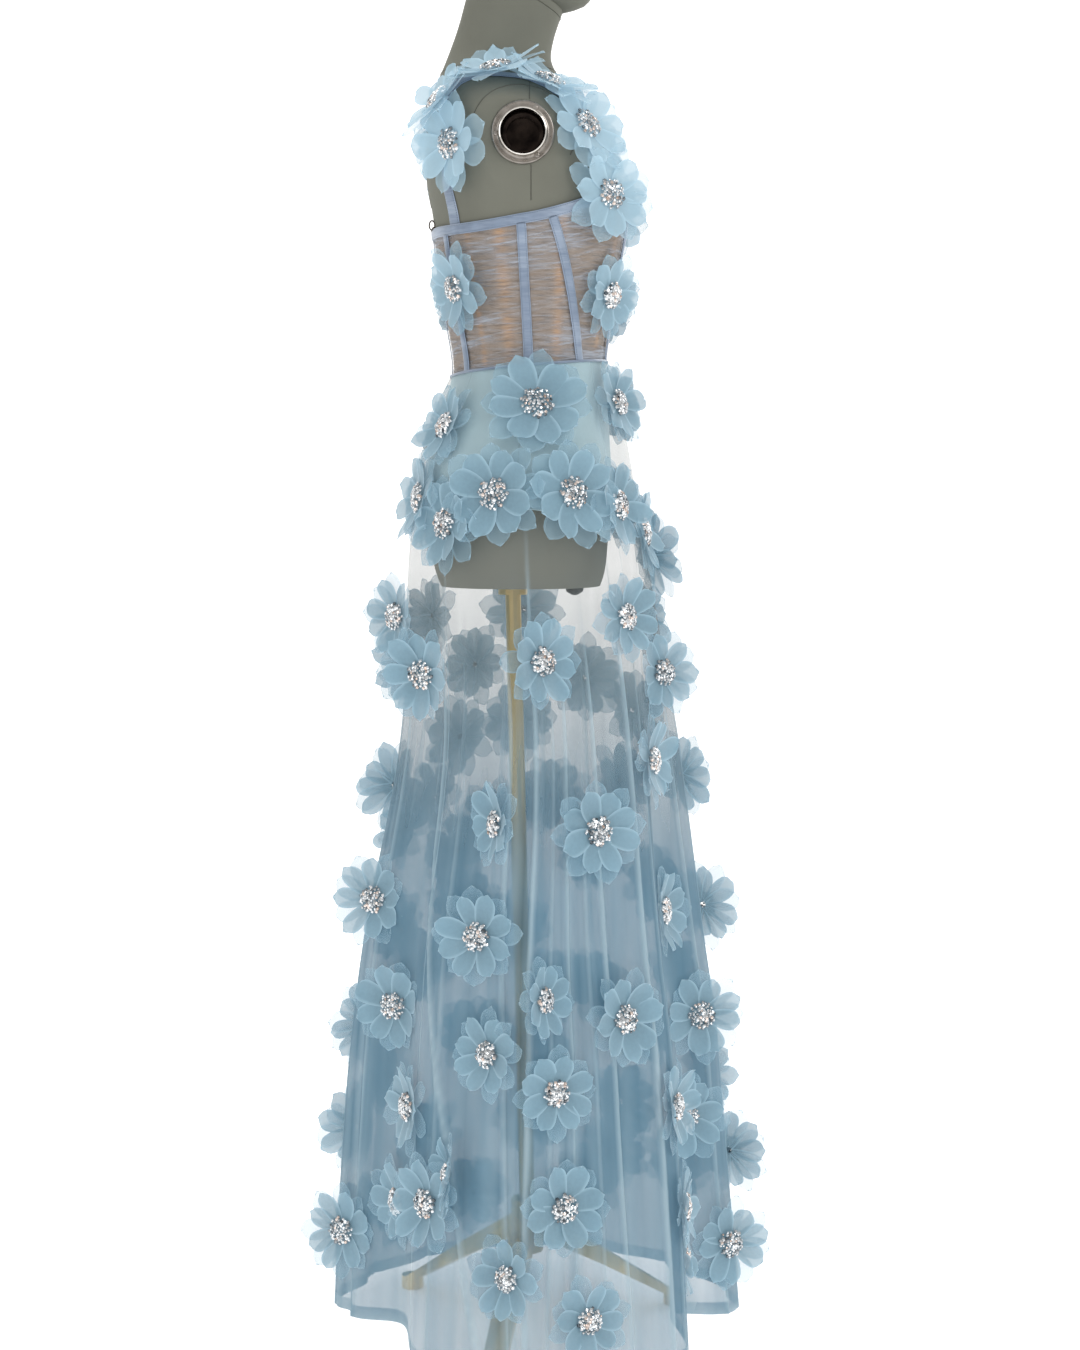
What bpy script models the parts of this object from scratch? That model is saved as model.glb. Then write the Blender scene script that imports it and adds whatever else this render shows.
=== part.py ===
"""Tulle gown with applied flowers, standing on its limbless dress form.

Metres, +Z up. The gown faces -Y and the wearer's right side is at -X.
An azimuth is counted in degrees round the body from the front: 0 is the front,
90 the wearer's right side, 180 the back and 270 the left side.
"""
import bmesh
import bpy
import numpy as np
from math import asin, cos, degrees, exp, pi, radians, sin
from mathutils import Vector
from mathutils.bvhtree import BVHTree

# Driving sizes of the cloth
CLOTH = 0.0012              # thickness of tulle, ruched panels and brief
SEAM = 0.0003               # gap that stands for a seam
SEAM_HALF = 0.6 * SEAM      # each side of a seam, a little over half for slanting walls
WAIST_HALF = 0.12
SKIN = 0.0014               # gown's panels keep this gap to the form
STRAP_SKIN = 0.0008         # straps lie closer, on the shoulders
BRIEF_OUT = SKIN + CLOTH    # outer face of brief and bodice
SKIRT_GAP = 0.0008          # skirt over brief at the waist
RIBBON = 0.0015             # thickness of satin ribbon
RIBBON_WIDE = 0.012         # width of boning channels and top binding

# Heights of the gown
WAIST = 1.253               # waist seam at the side
WAIST_RISE = 0.010          # front of the waist seam lies higher, back lower
BUST_EDGE = 1.447           # top binding at the side
BUST_EDGE_RISE = 0.028
BUST_EDGE_DIP = 0.010
LEG_FRONT = 1.034           # brief's lower edge at front and back
LEG_RISE = 0.041            # how far the leg line climbs at the sides
HEM = 0.012                 # lowest edge of the skirt above the floor
HEM_LIFT = 0.25             # rise of the hem for each metre that a fold goes in
HEM_DEEP = 0.016            # turned hem
HEM_THICK = 0.0006          # extra thickness of the turned hem, each face
HUG = 0.11                  # the skirt leaves the body over this drop

# Dress form: height, front, back, half width, tilt (rise towards the back)
FORM_SECTIONS = (
    (0.975, -0.078, 0.128, 0.158, 0.00),
    (0.990, -0.083, 0.134, 0.165, 0.00),
    (1.035, -0.088, 0.142, 0.173, 0.00),
    (1.100, -0.090, 0.146, 0.175, 0.00),
    (1.170, -0.087, 0.135, 0.158, 0.00),
    (1.253, -0.082, 0.110, 0.122, 0.00),
    (1.300, -0.087, 0.116, 0.126, 0.00),
    (1.350, -0.094, 0.125, 0.135, 0.00),
    (1.400, -0.099, 0.132, 0.143, 0.00),
    (1.445, -0.101, 0.137, 0.148, 0.00),
    (1.500, -0.094, 0.145, 0.156, 0.00),
    (1.550, -0.073, 0.145, 0.160, 0.00),
    (1.582, -0.054, 0.141, 0.146, 0.02),
    (1.604, -0.041, 0.135, 0.118, 0.05),
    (1.622, -0.031, 0.126, 0.084, 0.10),
    (1.640, -0.022, 0.117, 0.063, 0.18),
    (1.668, -0.014, 0.105, 0.054, 0.30),
    (1.700, -0.018, 0.094, 0.052, 0.45),
    (1.738, -0.029, 0.082, 0.050, 0.55),
)
# Heights at which the solid torso is cut into rings
FORM_RINGS = (0.975, 0.990, 1.035, 1.080, 1.120, 1.150, 1.174, 1.196, 1.216, 1.234,
              1.248, 1.262, 1.280, 1.305, 1.340, 1.375, 1.410, 1.440, 1.470, 1.515,
              1.555, 1.582, 1.604, 1.622, 1.640, 1.668, 1.700, 1.738)
FORM_SQUARE = 2.25          # superellipse power of the form's sections
ARM_PLATE = 0.149           # flat armhole plates lie at this distance from the middle
PLATE_TOP = 1.60
BUST_HEIGHT = 1.440
BUST_REACH = 0.011
BUST_APART = 0.072
BUST_SPREAD = 0.060

# Plain head: height, front, back, half width, tilt
HEAD_SECTIONS = (
    (1.7384, -0.030, 0.083, 0.051, 0.55),
    (1.748, -0.058, 0.092, 0.061, 0.42),
    (1.774, -0.068, 0.104, 0.068, 0.28),
    (1.810, -0.074, 0.113, 0.074, 0.14),
    (1.850, -0.075, 0.118, 0.076, 0.05),
    (1.890, -0.067, 0.113, 0.072, 0.00),
    (1.920, -0.043, 0.092, 0.055, 0.00),
    (1.936, -0.012, 0.062, 0.027, 0.00),
)
CROWN = (0.0, 0.026, 1.9405)
HEAD_SQUARE = 2.1

# Skirt: height, front, back, half width of the hanging tulle without its folds
SKIRT_SECTIONS = (
    (0.000, -0.268, 0.279, 0.292),
    (0.050, -0.264, 0.277, 0.288),
    (0.300, -0.244, 0.259, 0.262),
    (0.400, -0.235, 0.249, 0.250),
    (0.510, -0.218, 0.235, 0.236),
    (0.790, -0.177, 0.183, 0.206),
    (0.930, -0.155, 0.176, 0.199),
    (1.050, -0.133, 0.166, 0.194),
    (1.130, -0.118, 0.156, 0.184),
    (1.200, -0.106, 0.141, 0.158),
    (1.270, -0.096, 0.125, 0.140),
)

# Inward folds of the skirt: azimuth, half width in degrees, depth at the hem, top
FOLDS = (
    (23.0, 15.0, 0.082, 1.00),
    (61.0, 5.0, 0.016, 0.90),
    (78.0, 4.0, 0.020, 0.92),
    (97.0, 4.0, 0.022, 1.02),
    (114.0, 5.0, 0.014, 0.85),
    (149.0, 21.0, 0.076, 1.00),
    (176.0, 5.0, 0.012, 0.80),
    (201.0, 7.0, 0.024, 0.95),
    (224.0, 9.0, 0.026, 0.98),
    (246.0, 6.0, 0.020, 0.88),
    (263.0, 4.5, 0.022, 1.00),
    (281.0, 5.0, 0.022, 0.92),
    (301.0, 8.0, 0.034, 0.98),
    (324.0, 9.0, 0.040, 1.00),
    (350.0, 5.0, 0.010, 0.80),
)
FOLD_GROWTH = 0.62

# Seams between the skirt's gores, and rows of the gores by their part of the drop
GORE_SEAMS = (42.0, 132.0, 222.0, 312.0)
GORE_NAMES = ("right", "back", "left", "front")
GORE_COLUMNS = 22
SKIRT_ROWS = (0.0, 0.02, 0.055, 0.11, 0.19, 0.32, 0.50, 0.74)

# Rows of the brief by their part of its height
BRIEF_ROWS = (0.0, 0.13, 0.26, 0.39, 0.52, 0.65, 0.77, 0.89, 1.0)
HIP_HALF = 0.17

# Bodice seams on the right side: name, azimuth at the waist, azimuth at the top
BODICE_SEAMS = (
    ("front", 15.0, 17.0),
    ("princess", 53.0, 77.0),
    ("side", 90.0, 92.0),
    ("back", 139.0, 145.0),
)
GATHERS = 8                 # ruched ridges between waist and binding
GATHER_HIGH = 0.0013
GATHER_WAVE = 0.016
GATHER_FADE = 0.13          # part of a panel's width over which a ridge dies out
CHANNEL_GAP = GATHER_HIGH + 2 * SEAM    # boning channels lie on the ruched ridges
BINDING_OUT = BRIEF_OUT + 0.0007 + RIBBON
ZIP_HALF = 0.006

# Straps: ribbon laid over the shoulder in a plane at this distance from the middle
STRAP_OUT = 0.106
STRAP_HALF = 0.008
STRAP_TURN = 1.50           # height above which the ribbon bends over the shoulder
STRAP_AXIS_Y = 0.030

# Arm sockets: a turned metal cup on each armhole plate
SOCKET_Y = 0.021
SOCKET_HEIGHT = 1.534
SOCKET_PROFILE = (          # distance from the plate, radius
    (0.0005, 0.0385),
    (0.0100, 0.0385),
    (0.0145, 0.0360),
    (0.0145, 0.0295),
    (0.0035, 0.0275),
)
SOCKET_SIDES = 16

# Stand
POLE_RADIUS = 0.010
POLE_TOP_Y = 0.035
HUB_Y = 0.017
HUB_RADIUS = 0.021
HUB_LOW = 0.095
HUB_HIGH = 0.165
COLLAR_RADIUS = 0.019       # collar that carries the form on the pole
COLLAR_HIGH = 0.012
LEG_AZIMUTHS = (101.0, 221.0, 341.0)
LEG_WIDE = 0.030
LEG_STATIONS = (            # distance from the hub's middle, underside, top
    (0.006, 0.118, 0.150),
    (0.100, 0.070, 0.092),
    (0.215, 0.006, 0.015),
)
FOOT_REACH = 0.211
FOOT_RADIUS = 0.015
FOOT_HIGH = 0.018
ROUND_SIDES = 12

# Flower of stiff organza round a crystal dome
PETALS = 6
PETAL_THICK = 0.0016
PETAL_CUP = 0.010           # how far the petals' tips rise from the cloth
PETAL_NOTCH = 0.74          # radius between two petals, as part of the flower's
PETAL_SHOULDER = 17.0       # degrees from a petal's middle to its rounded corner
DOME_RADIUS = 0.020
DOME_HIGH = 0.012
FLOWER_GAP = 0.0004
STRAP_LEAN = 0.35           # shoulder flowers lean this much away from the neck

# Flowers that both sides carry, here for the right side. Flowers of one name are
# sewn over each other and form one piece. Columns: name, surface, azimuth or the
# strap's angle over the shoulder, height or distance from the middle, radius,
# turn in degrees towards a higher azimuth, spin in degrees
SIDE_FLOWERS = (
    ("strap_flowers", "form", 130.0, 1.524, 0.056, 0.0, 0.0),
    ("strap_flowers", "strap", 40.0, 0.111, 0.052, 0.0, 0.0),
    ("strap_flowers", "strap", 78.0, 0.106, 0.056, 0.0, 0.0),
    ("strap_flowers", "strap", 112.0, 0.103, 0.057, 0.0, 0.0),
    ("strap_flowers", "form", 40.0, 1.546, 0.057, 14.0, 0.0),
    ("strap_flowers", "bodice", 42.0, 1.463, 0.055, 16.0, 4.0),
    ("hip_flowers", "skirt", 155.0, 1.088, 0.054, 0.0, 24.0),
    ("hip_flowers", "skirt", 131.0, 1.056, 0.055, 0.0, 30.0),
    ("hip_flowers", "skirt", 105.0, 1.092, 0.057, 0.0, 30.0),
    ("hip_flowers", "skirt", 67.0, 1.093, 0.058, 0.0, 30.0),
    ("hip_flowers", "skirt", 40.0, 1.078, 0.053, 0.0, 24.0),
    ("hip_flowers", "skirt", 17.0, 1.044, 0.051, 0.0, 18.0),
    ("flower_side_back", "bodice", 137.0, 1.350, 0.049, 0.0, 9.0),
    ("flower_side_front", "bodice", 32.0, 1.344, 0.047, 16.0, 41.0),
    ("flower_hip", "skirt", 84.0, 1.201, 0.061, 0.0, 16.0),
    ("flower_waist_back", "skirt", 139.0, 1.176, 0.047, 0.0, 35.0),
    ("flower_waist_front", "skirt", 23.0, 1.206, 0.048, 14.0, 52.0),
)

# Flowers scattered over the skirt: azimuth, height, radius, turn
SKIRT_FLOWERS = (
    (334.0, 0.930, 0.050, 0.0),
    (180.0, 0.934, 0.050, 0.0),
    (149.0, 0.866, 0.054, 0.0),
    (87.0, 0.889, 0.052, 0.0),
    (11.0, 0.863, 0.050, 0.0),
    (292.0, 0.840, 0.052, 0.0),
    (236.0, 0.760, 0.052, 0.0),
    (68.0, 0.680, 0.053, 0.0),
    (172.0, 0.567, 0.052, 0.0),
    (108.0, 0.552, 0.052, 0.0),
    (318.0, 0.560, 0.052, 0.0),
    (262.0, 0.480, 0.052, 0.0),
    (62.0, 0.448, 0.053, 0.0),
    (10.0, 0.418, 0.052, 0.0),
    (136.0, 0.325, 0.052, 0.0),
    (174.0, 0.131, 0.052, -22.0),
    (5.0, 0.112, 0.052, 17.0),
)

COLOURS = {
    "form": ((0.20, 0.21, 0.195), 0.85, 0.0),
    "chrome": ((0.62, 0.60, 0.57), 0.22, 1.0),
    "brass": ((0.25, 0.19, 0.09), 0.38, 0.9),
    "tulle": ((0.50, 0.68, 0.80), 0.75, 0.0),
    "brief": ((0.42, 0.63, 0.76), 0.70, 0.0),
    "ruching": ((0.36, 0.38, 0.40), 0.75, 0.0),
    "ribbon": ((0.38, 0.45, 0.66), 0.42, 0.0),
    "petal": ((0.33, 0.56, 0.76), 0.60, 0.0),
}


class Profile:
    """Smooth curve through a table whose first column is the height."""

    def __init__(self, rows):
        table = np.array(rows, dtype=float)
        self.heights = table[:, 0]
        self.values = table[:, 1:]
        steps = np.diff(self.heights)[:, None]
        slopes = np.diff(self.values, axis=0) / steps
        self.tangents = np.vstack([slopes[:1], (slopes[1:] + slopes[:-1]) / 2, slopes[-1:]])
        turning = slopes[1:] * slopes[:-1] <= 0
        self.tangents[1:-1][turning] = 0.0

    def at(self, height):
        height = min(max(height, self.heights[0]), self.heights[-1])
        i = min(int(np.searchsorted(self.heights, height, side="right")) - 1, len(self.heights) - 2)
        span = self.heights[i + 1] - self.heights[i]
        t = (height - self.heights[i]) / span
        return ((2 * t**3 - 3 * t**2 + 1) * self.values[i]
                + (t**3 - 2 * t**2 + t) * span * self.tangents[i]
                + (3 * t**2 - 2 * t**3) * self.values[i + 1]
                + (t**3 - t**2) * span * self.tangents[i + 1])


FORM = Profile(FORM_SECTIONS)
HEAD = Profile(HEAD_SECTIONS)
SKIRT = Profile(SKIRT_SECTIONS)


def smooth_step(t):
    t = min(max(t, 0.0), 1.0)
    return t * t * (3 - 2 * t)


def turn_between(azimuth, other):
    """Signed angle in degrees from one azimuth to another, the short way round."""
    return (azimuth - other + 180.0) % 360.0 - 180.0


def section_point(front, back, half_width, azimuth, power):
    s, c = sin(radians(azimuth)), cos(radians(azimuth))
    x = -half_width * np.sign(s) * abs(s) ** (2 / power)
    y = (front + back) / 2 - (back - front) / 2 * np.sign(c) * abs(c) ** (2 / power)
    return x, y


def form_point(azimuth, height):
    """Point of the dress form's torso and neck."""
    front, back, half_width, tilt = FORM.at(height)
    x, y = section_point(front, back, half_width, azimuth, FORM_SQUARE)
    facing = max(cos(radians(azimuth)), 0.0)
    lobe = exp(-((abs(x) - BUST_APART) / BUST_SPREAD) ** 2 - ((height - BUST_HEIGHT) / BUST_SPREAD) ** 2)
    z = height + tilt * (y - (front + back) / 2)
    x = min(max(x, -ARM_PLATE), ARM_PLATE) if WAIST < height < PLATE_TOP else x
    return Vector((x, y - BUST_REACH * lobe * min(1.0, 2 * facing), z))


def head_point(azimuth, height):
    front, back, half_width, tilt = HEAD.at(height)
    x, y = section_point(front, back, half_width, azimuth, HEAD_SQUARE)
    return Vector((x, y, height + tilt * (y - (front + back) / 2)))


def normal_at(surface, azimuth, height):
    """Outward normal of a surface given by azimuth and height."""
    across = surface(azimuth - 0.6, height) - surface(azimuth + 0.6, height)
    up = surface(azimuth, height + 0.002) - surface(azimuth, height - 0.002)
    return across.cross(up).normalized() * (-1 if across.cross(up).dot(
        surface(azimuth, height) - Vector((0, HUB_Y, height))) < 0 else 1)


def on_form(azimuth, height, gap):
    """Point of the form moved out by a gap."""
    return form_point(azimuth, height) + normal_at(form_point, azimuth, height) * gap


def centre_spread(half, height):
    """Degrees from the middle of the front or back to a point this far beside it."""
    return degrees(asin((half / FORM.at(height)[2]) ** (FORM_SQUARE / 2)))


def waist_line(azimuth):
    return WAIST + WAIST_RISE * cos(radians(azimuth))


def bust_line(azimuth):
    return (BUST_EDGE + BUST_EDGE_RISE * cos(radians(azimuth))
            + BUST_EDGE_DIP * cos(radians(2 * azimuth)))


def leg_line(azimuth):
    return LEG_FRONT + LEG_RISE * abs(sin(radians(azimuth))) ** 2.5


def fold_depth(azimuth, height):
    """How far the skirt's folds pull the tulle in at a place."""
    depth = 0.0
    for middle, half_width, deep, top in FOLDS:
        if height < top:
            away = turn_between(azimuth, middle) / half_width
            depth += deep * ((top - height) / top) ** FOLD_GROWTH * exp(-away * away)
    return depth


def hem_line(azimuth):
    return HEM + HEM_LIFT * fold_depth(azimuth, HEM)


def skirt_mid(azimuth, height):
    """Middle of the skirt's tulle: on the brief at the waist, then hanging free."""
    front, back, half_width = SKIRT.at(height)
    x, y = section_point(front, back, half_width, azimuth, 2.0)
    centre = Vector((0, (front + back) / 2, height))
    hanging = Vector((x, y, height))
    inward = (centre - hanging).normalized()
    hanging += inward * fold_depth(azimuth, height)
    drop = min(max((waist_line(azimuth) - height) / HUG, 0.0), 1.0)
    free = 1 - (1 - drop) ** 2
    if free >= 1.0:
        return hanging
    hugging = on_form(azimuth, height, BRIEF_OUT + SKIRT_GAP + CLOTH / 2)
    return hugging.lerp(hanging, free)


def skirt_point(azimuth, height, offset):
    return skirt_mid(azimuth, height) + normal_at(skirt_mid, azimuth, height) * offset


def closed_wall(outer, inner):
    """Vertices and faces of a wall between two grids of points.

    Each grid is a list of rows from low to high, each row a list of points that
    runs with rising azimuth. The two grids share their columns, but the
    inner one may have fewer rows.
    """
    verts, faces = [], []
    columns = len(outer[0])

    def put(grid):
        first = len(verts)
        for row in grid:
            verts.extend(row)
        return [[first + r * columns + c for c in range(columns)] for r in range(len(grid))]

    out, ins = put(outer), put(inner)
    for c in range(columns - 1):
        d = c + 1
        for r in range(len(out) - 1):
            faces.append((out[r][d], out[r][c], out[r + 1][c], out[r + 1][d]))
        for r in range(len(ins) - 1):
            faces.append((ins[r][c], ins[r][d], ins[r + 1][d], ins[r + 1][c]))
        faces.append((out[0][c], out[0][d], ins[0][d], ins[0][c]))
        faces.append((out[-1][d], out[-1][c], ins[-1][c], ins[-1][d]))
    faces.extend(zip_chains([row[0] for row in out], [row[0] for row in ins], verts))
    faces.extend(zip_chains([row[-1] for row in ins], [row[-1] for row in out], verts))
    return verts, faces


def zip_chains(chain_a, chain_b, verts):
    """Triangles between two upward chains of vertices that may differ in number."""
    faces = []
    i = j = 0
    while i < len(chain_a) - 1 or j < len(chain_b) - 1:
        take_a = j == len(chain_b) - 1
        if not take_a and i < len(chain_a) - 1:
            next_a = verts[chain_a[i + 1]] - verts[chain_b[j]]
            next_b = verts[chain_b[j + 1]] - verts[chain_a[i]]
            take_a = next_a.length < next_b.length
        if take_a:
            faces.append((chain_a[i], chain_b[j], chain_a[i + 1]))
            i += 1
        else:
            faces.append((chain_a[i], chain_b[j], chain_b[j + 1]))
            j += 1
    return faces


def loft(rings, high_point=None):
    """Closed solid through rings of points; the top ends in a cap or a point."""
    sides = len(rings[0])
    verts = [point for ring in rings for point in ring]
    faces = []
    for r in range(len(rings) - 1):
        for c in range(sides):
            d = (c + 1) % sides
            faces.append((r * sides + d, r * sides + c, (r + 1) * sides + c, (r + 1) * sides + d))
    faces.append(tuple(range(sides)))
    last = (len(rings) - 1) * sides
    if high_point is None:
        faces.append(tuple(last + c for c in reversed(range(sides))))
    else:
        verts.append(high_point)
        for c in range(sides):
            faces.append((last + (c + 1) % sides, last + c, len(verts) - 1))
    return verts, faces


def make_material(name):
    colour, roughness, metallic = COLOURS[name]
    material = bpy.data.materials.new(name)
    material.use_nodes = True
    shader = material.node_tree.nodes["Principled BSDF"]
    shader.inputs["Base Color"].default_value = (*colour, 1.0)
    shader.inputs["Roughness"].default_value = roughness
    shader.inputs["Metallic"].default_value = metallic
    return material


def add_node(name, shape, finish, smooth=False):
    """Mesh object for one piece, with its own material and outward faces."""
    verts, faces = shape
    mesh = bpy.data.meshes.new(name)
    mesh.from_pydata([tuple(v) for v in verts], [], faces)
    work = bmesh.new()
    work.from_mesh(mesh)
    bmesh.ops.recalc_face_normals(work, faces=work.faces)
    if work.calc_volume(signed=True) < 0:
        bmesh.ops.reverse_faces(work, faces=work.faces)
    bmesh.ops.triangulate(work, faces=work.faces)
    work.to_mesh(mesh)
    work.free()
    material = make_material(finish)
    material.name = name + "_" + finish
    mesh.materials.append(material)
    if smooth:
        mesh.shade_smooth()
        mesh.set_sharp_from_angle(angle=radians(35))
    piece = bpy.data.objects.new(name, mesh)
    bpy.context.scene.collection.objects.link(piece)
    piece.parent = bpy.data.objects["gown_on_form"]
    return piece


def hide_helper(piece):
    piece.hide_render = True
    piece.display_type = "WIRE"


def join_by_boolean(piece, helpers):
    """Fuse helper solids into one piece; the helpers stay as guides."""
    for helper in helpers:
        hide_helper(helper)
        fuse = piece.modifiers.new("fuse_" + helper.name, "BOOLEAN")
        fuse.operation = "UNION"
        fuse.solver = "EXACT"
        fuse.object = helper


def build_form():
    """Torso with neck, and the plain head on its tilted joint."""
    azimuths = [10.0 * k for k in range(36)]
    rings = [[form_point(a, h) for a in azimuths] for h in FORM_RINGS]
    add_node("form_torso", loft(rings), "form", smooth=True)
    azimuths = [22.5 * k for k in range(16)]
    rings = [[head_point(a, row[0]) for a in azimuths] for row in HEAD_SECTIONS]
    add_node("form_head", loft(rings, high_point=Vector(CROWN)), "form", smooth=True)


def build_sockets():
    """Metal cups on the armhole plates, open to the sides."""
    for side, sign in (("right", -1), ("left", 1)):
        rings = []
        for away, radius in SOCKET_PROFILE:
            rings.append([Vector((sign * (ARM_PLATE + away),
                                  SOCKET_Y + radius * cos(2 * pi * k / SOCKET_SIDES),
                                  SOCKET_HEIGHT + radius * sin(2 * pi * k / SOCKET_SIDES)))
                          for k in range(SOCKET_SIDES)])
        add_node("form_socket_" + side, loft(rings), "chrome", smooth=True)


def round_ring(x, y, z, radius, sides=ROUND_SIDES):
    return [Vector((x + radius * cos(2 * pi * k / sides), y + radius * sin(2 * pi * k / sides), z))
            for k in range(sides)]


def build_stand():
    """Brass pole, and a hub with three flat legs and round feet."""
    form_low = FORM_SECTIONS[0][0]
    pole = [round_ring(0, HUB_Y, HUB_HIGH + SEAM, POLE_RADIUS),
            round_ring(0, POLE_TOP_Y, form_low - COLLAR_HIGH, POLE_RADIUS),
            round_ring(0, POLE_TOP_Y, form_low - COLLAR_HIGH, COLLAR_RADIUS),
            round_ring(0, POLE_TOP_Y, form_low - SEAM, COLLAR_RADIUS)]
    add_node("stand_pole", loft(pole), "brass", smooth=True)
    hub = add_node("stand_base", loft([round_ring(0, HUB_Y, HUB_LOW, HUB_RADIUS),
                                       round_ring(0, HUB_Y, HUB_HIGH, HUB_RADIUS)]), "brass")
    helpers = []
    for k, azimuth in enumerate(LEG_AZIMUTHS):
        out = Vector((-sin(radians(azimuth)), -cos(radians(azimuth)), 0))
        side = Vector((-out.y, out.x, 0)) * LEG_WIDE / 2
        centre = Vector((0, HUB_Y, 0))
        bars = []
        for reach, low, high in LEG_STATIONS:
            spot = centre + out * reach
            bars.append([spot + side + Vector((0, 0, low)), spot - side + Vector((0, 0, low)),
                         spot - side + Vector((0, 0, high)), spot + side + Vector((0, 0, high))])
        helpers.append(add_node("leg_helper_%d" % k, loft(bars), "brass"))
        foot = centre + out * FOOT_REACH
        helpers.append(add_node("foot_helper_%d" % k,
                                loft([round_ring(foot.x, foot.y, 0.0, FOOT_RADIUS),
                                      round_ring(foot.x, foot.y, FOOT_HIGH, FOOT_RADIUS)]), "brass"))
    join_by_boolean(hub, helpers)


def build_brief():
    """Opaque brief, front and back, from the waist seam to the leg line."""
    for name, first in (("brief_front", -90.0), ("brief_back", 90.0)):
        grids = []
        for gap in (BRIEF_OUT, SKIN):
            grid = []
            for part in BRIEF_ROWS:
                row = []
                for c in range(19):
                    azimuth = first + 10.0 * c
                    trim = degrees(SEAM / 2 / HIP_HALF) * ((c == 0) - (c == 18))
                    low, high = leg_line(azimuth), waist_line(azimuth) - SEAM / 2
                    row.append(on_form(azimuth + trim, low + (high - low) * part, gap))
                grid.append(row)
            grids.append(grid)
        add_node(name, closed_wall(*grids), "brief", smooth=True)


def build_skirt():
    """Four tulle gores that meet in the fold seams, with a turned hem."""
    for k, name in enumerate(GORE_NAMES):
        start = GORE_SEAMS[k]
        grids = []
        for face in (1, -1):
            columns = []
            for c in range(GORE_COLUMNS):
                azimuth = start + 90.0 * c / (GORE_COLUMNS - 1)
                high, low = waist_line(azimuth) - SEAM / 2, hem_line(azimuth)
                top_of_hem = low + HEM_DEEP
                column = [(low, CLOTH / 2 + HEM_THICK), (top_of_hem, CLOTH / 2 + HEM_THICK),
                          (top_of_hem + 0.0015, CLOTH / 2)]
                for part in reversed(SKIRT_ROWS):
                    column.append((high + (top_of_hem - high) * part, CLOTH / 2))
                trim = (c == 0) - (c == GORE_COLUMNS - 1)
                points = []
                for height, half in column:
                    reach = (skirt_mid(azimuth + 0.5, height) - skirt_mid(azimuth - 0.5, height)).length
                    points.append(skirt_point(azimuth + trim * SEAM_HALF / reach, height, face * half))
                columns.append(points)
            grids.append([list(row) for row in zip(*columns)])
        add_node("skirt_" + name, closed_wall(*grids), "tulle", smooth=True)


def bodice_seams():
    """Seam azimuths right round, rising: name, at the waist, at the top."""
    left = [(name, 360 - low, 360 - high) for name, low, high in reversed(BODICE_SEAMS)]
    return list(BODICE_SEAMS) + left


def build_bodice():
    """Ruched panels between the princess, side-back and centre-back seams."""
    panels = (
        ("bodice_front", (-53.0, -77.0), (53.0, 77.0), 19, 12, 0, 0),
        ("bodice_side_right", (53.0, 77.0), (139.0, 145.0), 10, 9, 0, 0),
        ("bodice_back_right", (139.0, 145.0), (180.0, 180.0), 6, 9, 0, 1),
        ("bodice_back_left", (180.0, 180.0), (221.0, 215.0), 6, 9, 1, 0),
        ("bodice_side_left", (221.0, 215.0), (307.0, 283.0), 10, 9, 0, 0),
    )
    outer_rows = 2 * GATHERS + 1
    for name, start, end, columns, inner_rows, zip_start, zip_end in panels:
        def place(u, v, gap, wave=0.0):
            azimuth = (start[0] + (start[1] - start[0]) * v) * (1 - u) + (end[0] + (end[1] - end[0]) * v) * u
            low = waist_line(azimuth) + SEAM / 2
            high = bust_line(azimuth) - RIBBON_WIDE - SEAM
            height = low + (high - low) * (v + wave)
            beside_zip = zip_start if u < 0.5 else zip_end
            trim = centre_spread(ZIP_HALF + SEAM, height) if beside_zip else degrees(SEAM_HALF / WAIST_HALF)
            return on_form(azimuth + trim * ((u == 0) - (u == 1)), height, gap), azimuth
        outer = []
        for r in range(outer_rows):
            row = []
            for c in range(columns):
                u = c / (columns - 1)
                v = r / (outer_rows - 1)
                free = smooth_step(min(u, 1 - u) / GATHER_FADE) * (0 < r < outer_rows - 1)
                _, azimuth = place(u, v, 0)
                wave = GATHER_WAVE * free * sin(radians(3.1 * azimuth + 47 * r))
                uneven = 0.75 + 0.25 * sin(radians(5.3 * azimuth + 95 * r))
                ridge = GATHER_HIGH * free * (r % 2) * uneven
                row.append(place(u, v, BRIEF_OUT + ridge, wave)[0])
            outer.append(row)
        inner = [[place(c / (columns - 1), r / (inner_rows - 1), SKIN)[0] for c in range(columns)]
                 for r in range(inner_rows)]
        add_node(name, closed_wall(outer, inner), "ruching", smooth=True)


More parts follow.
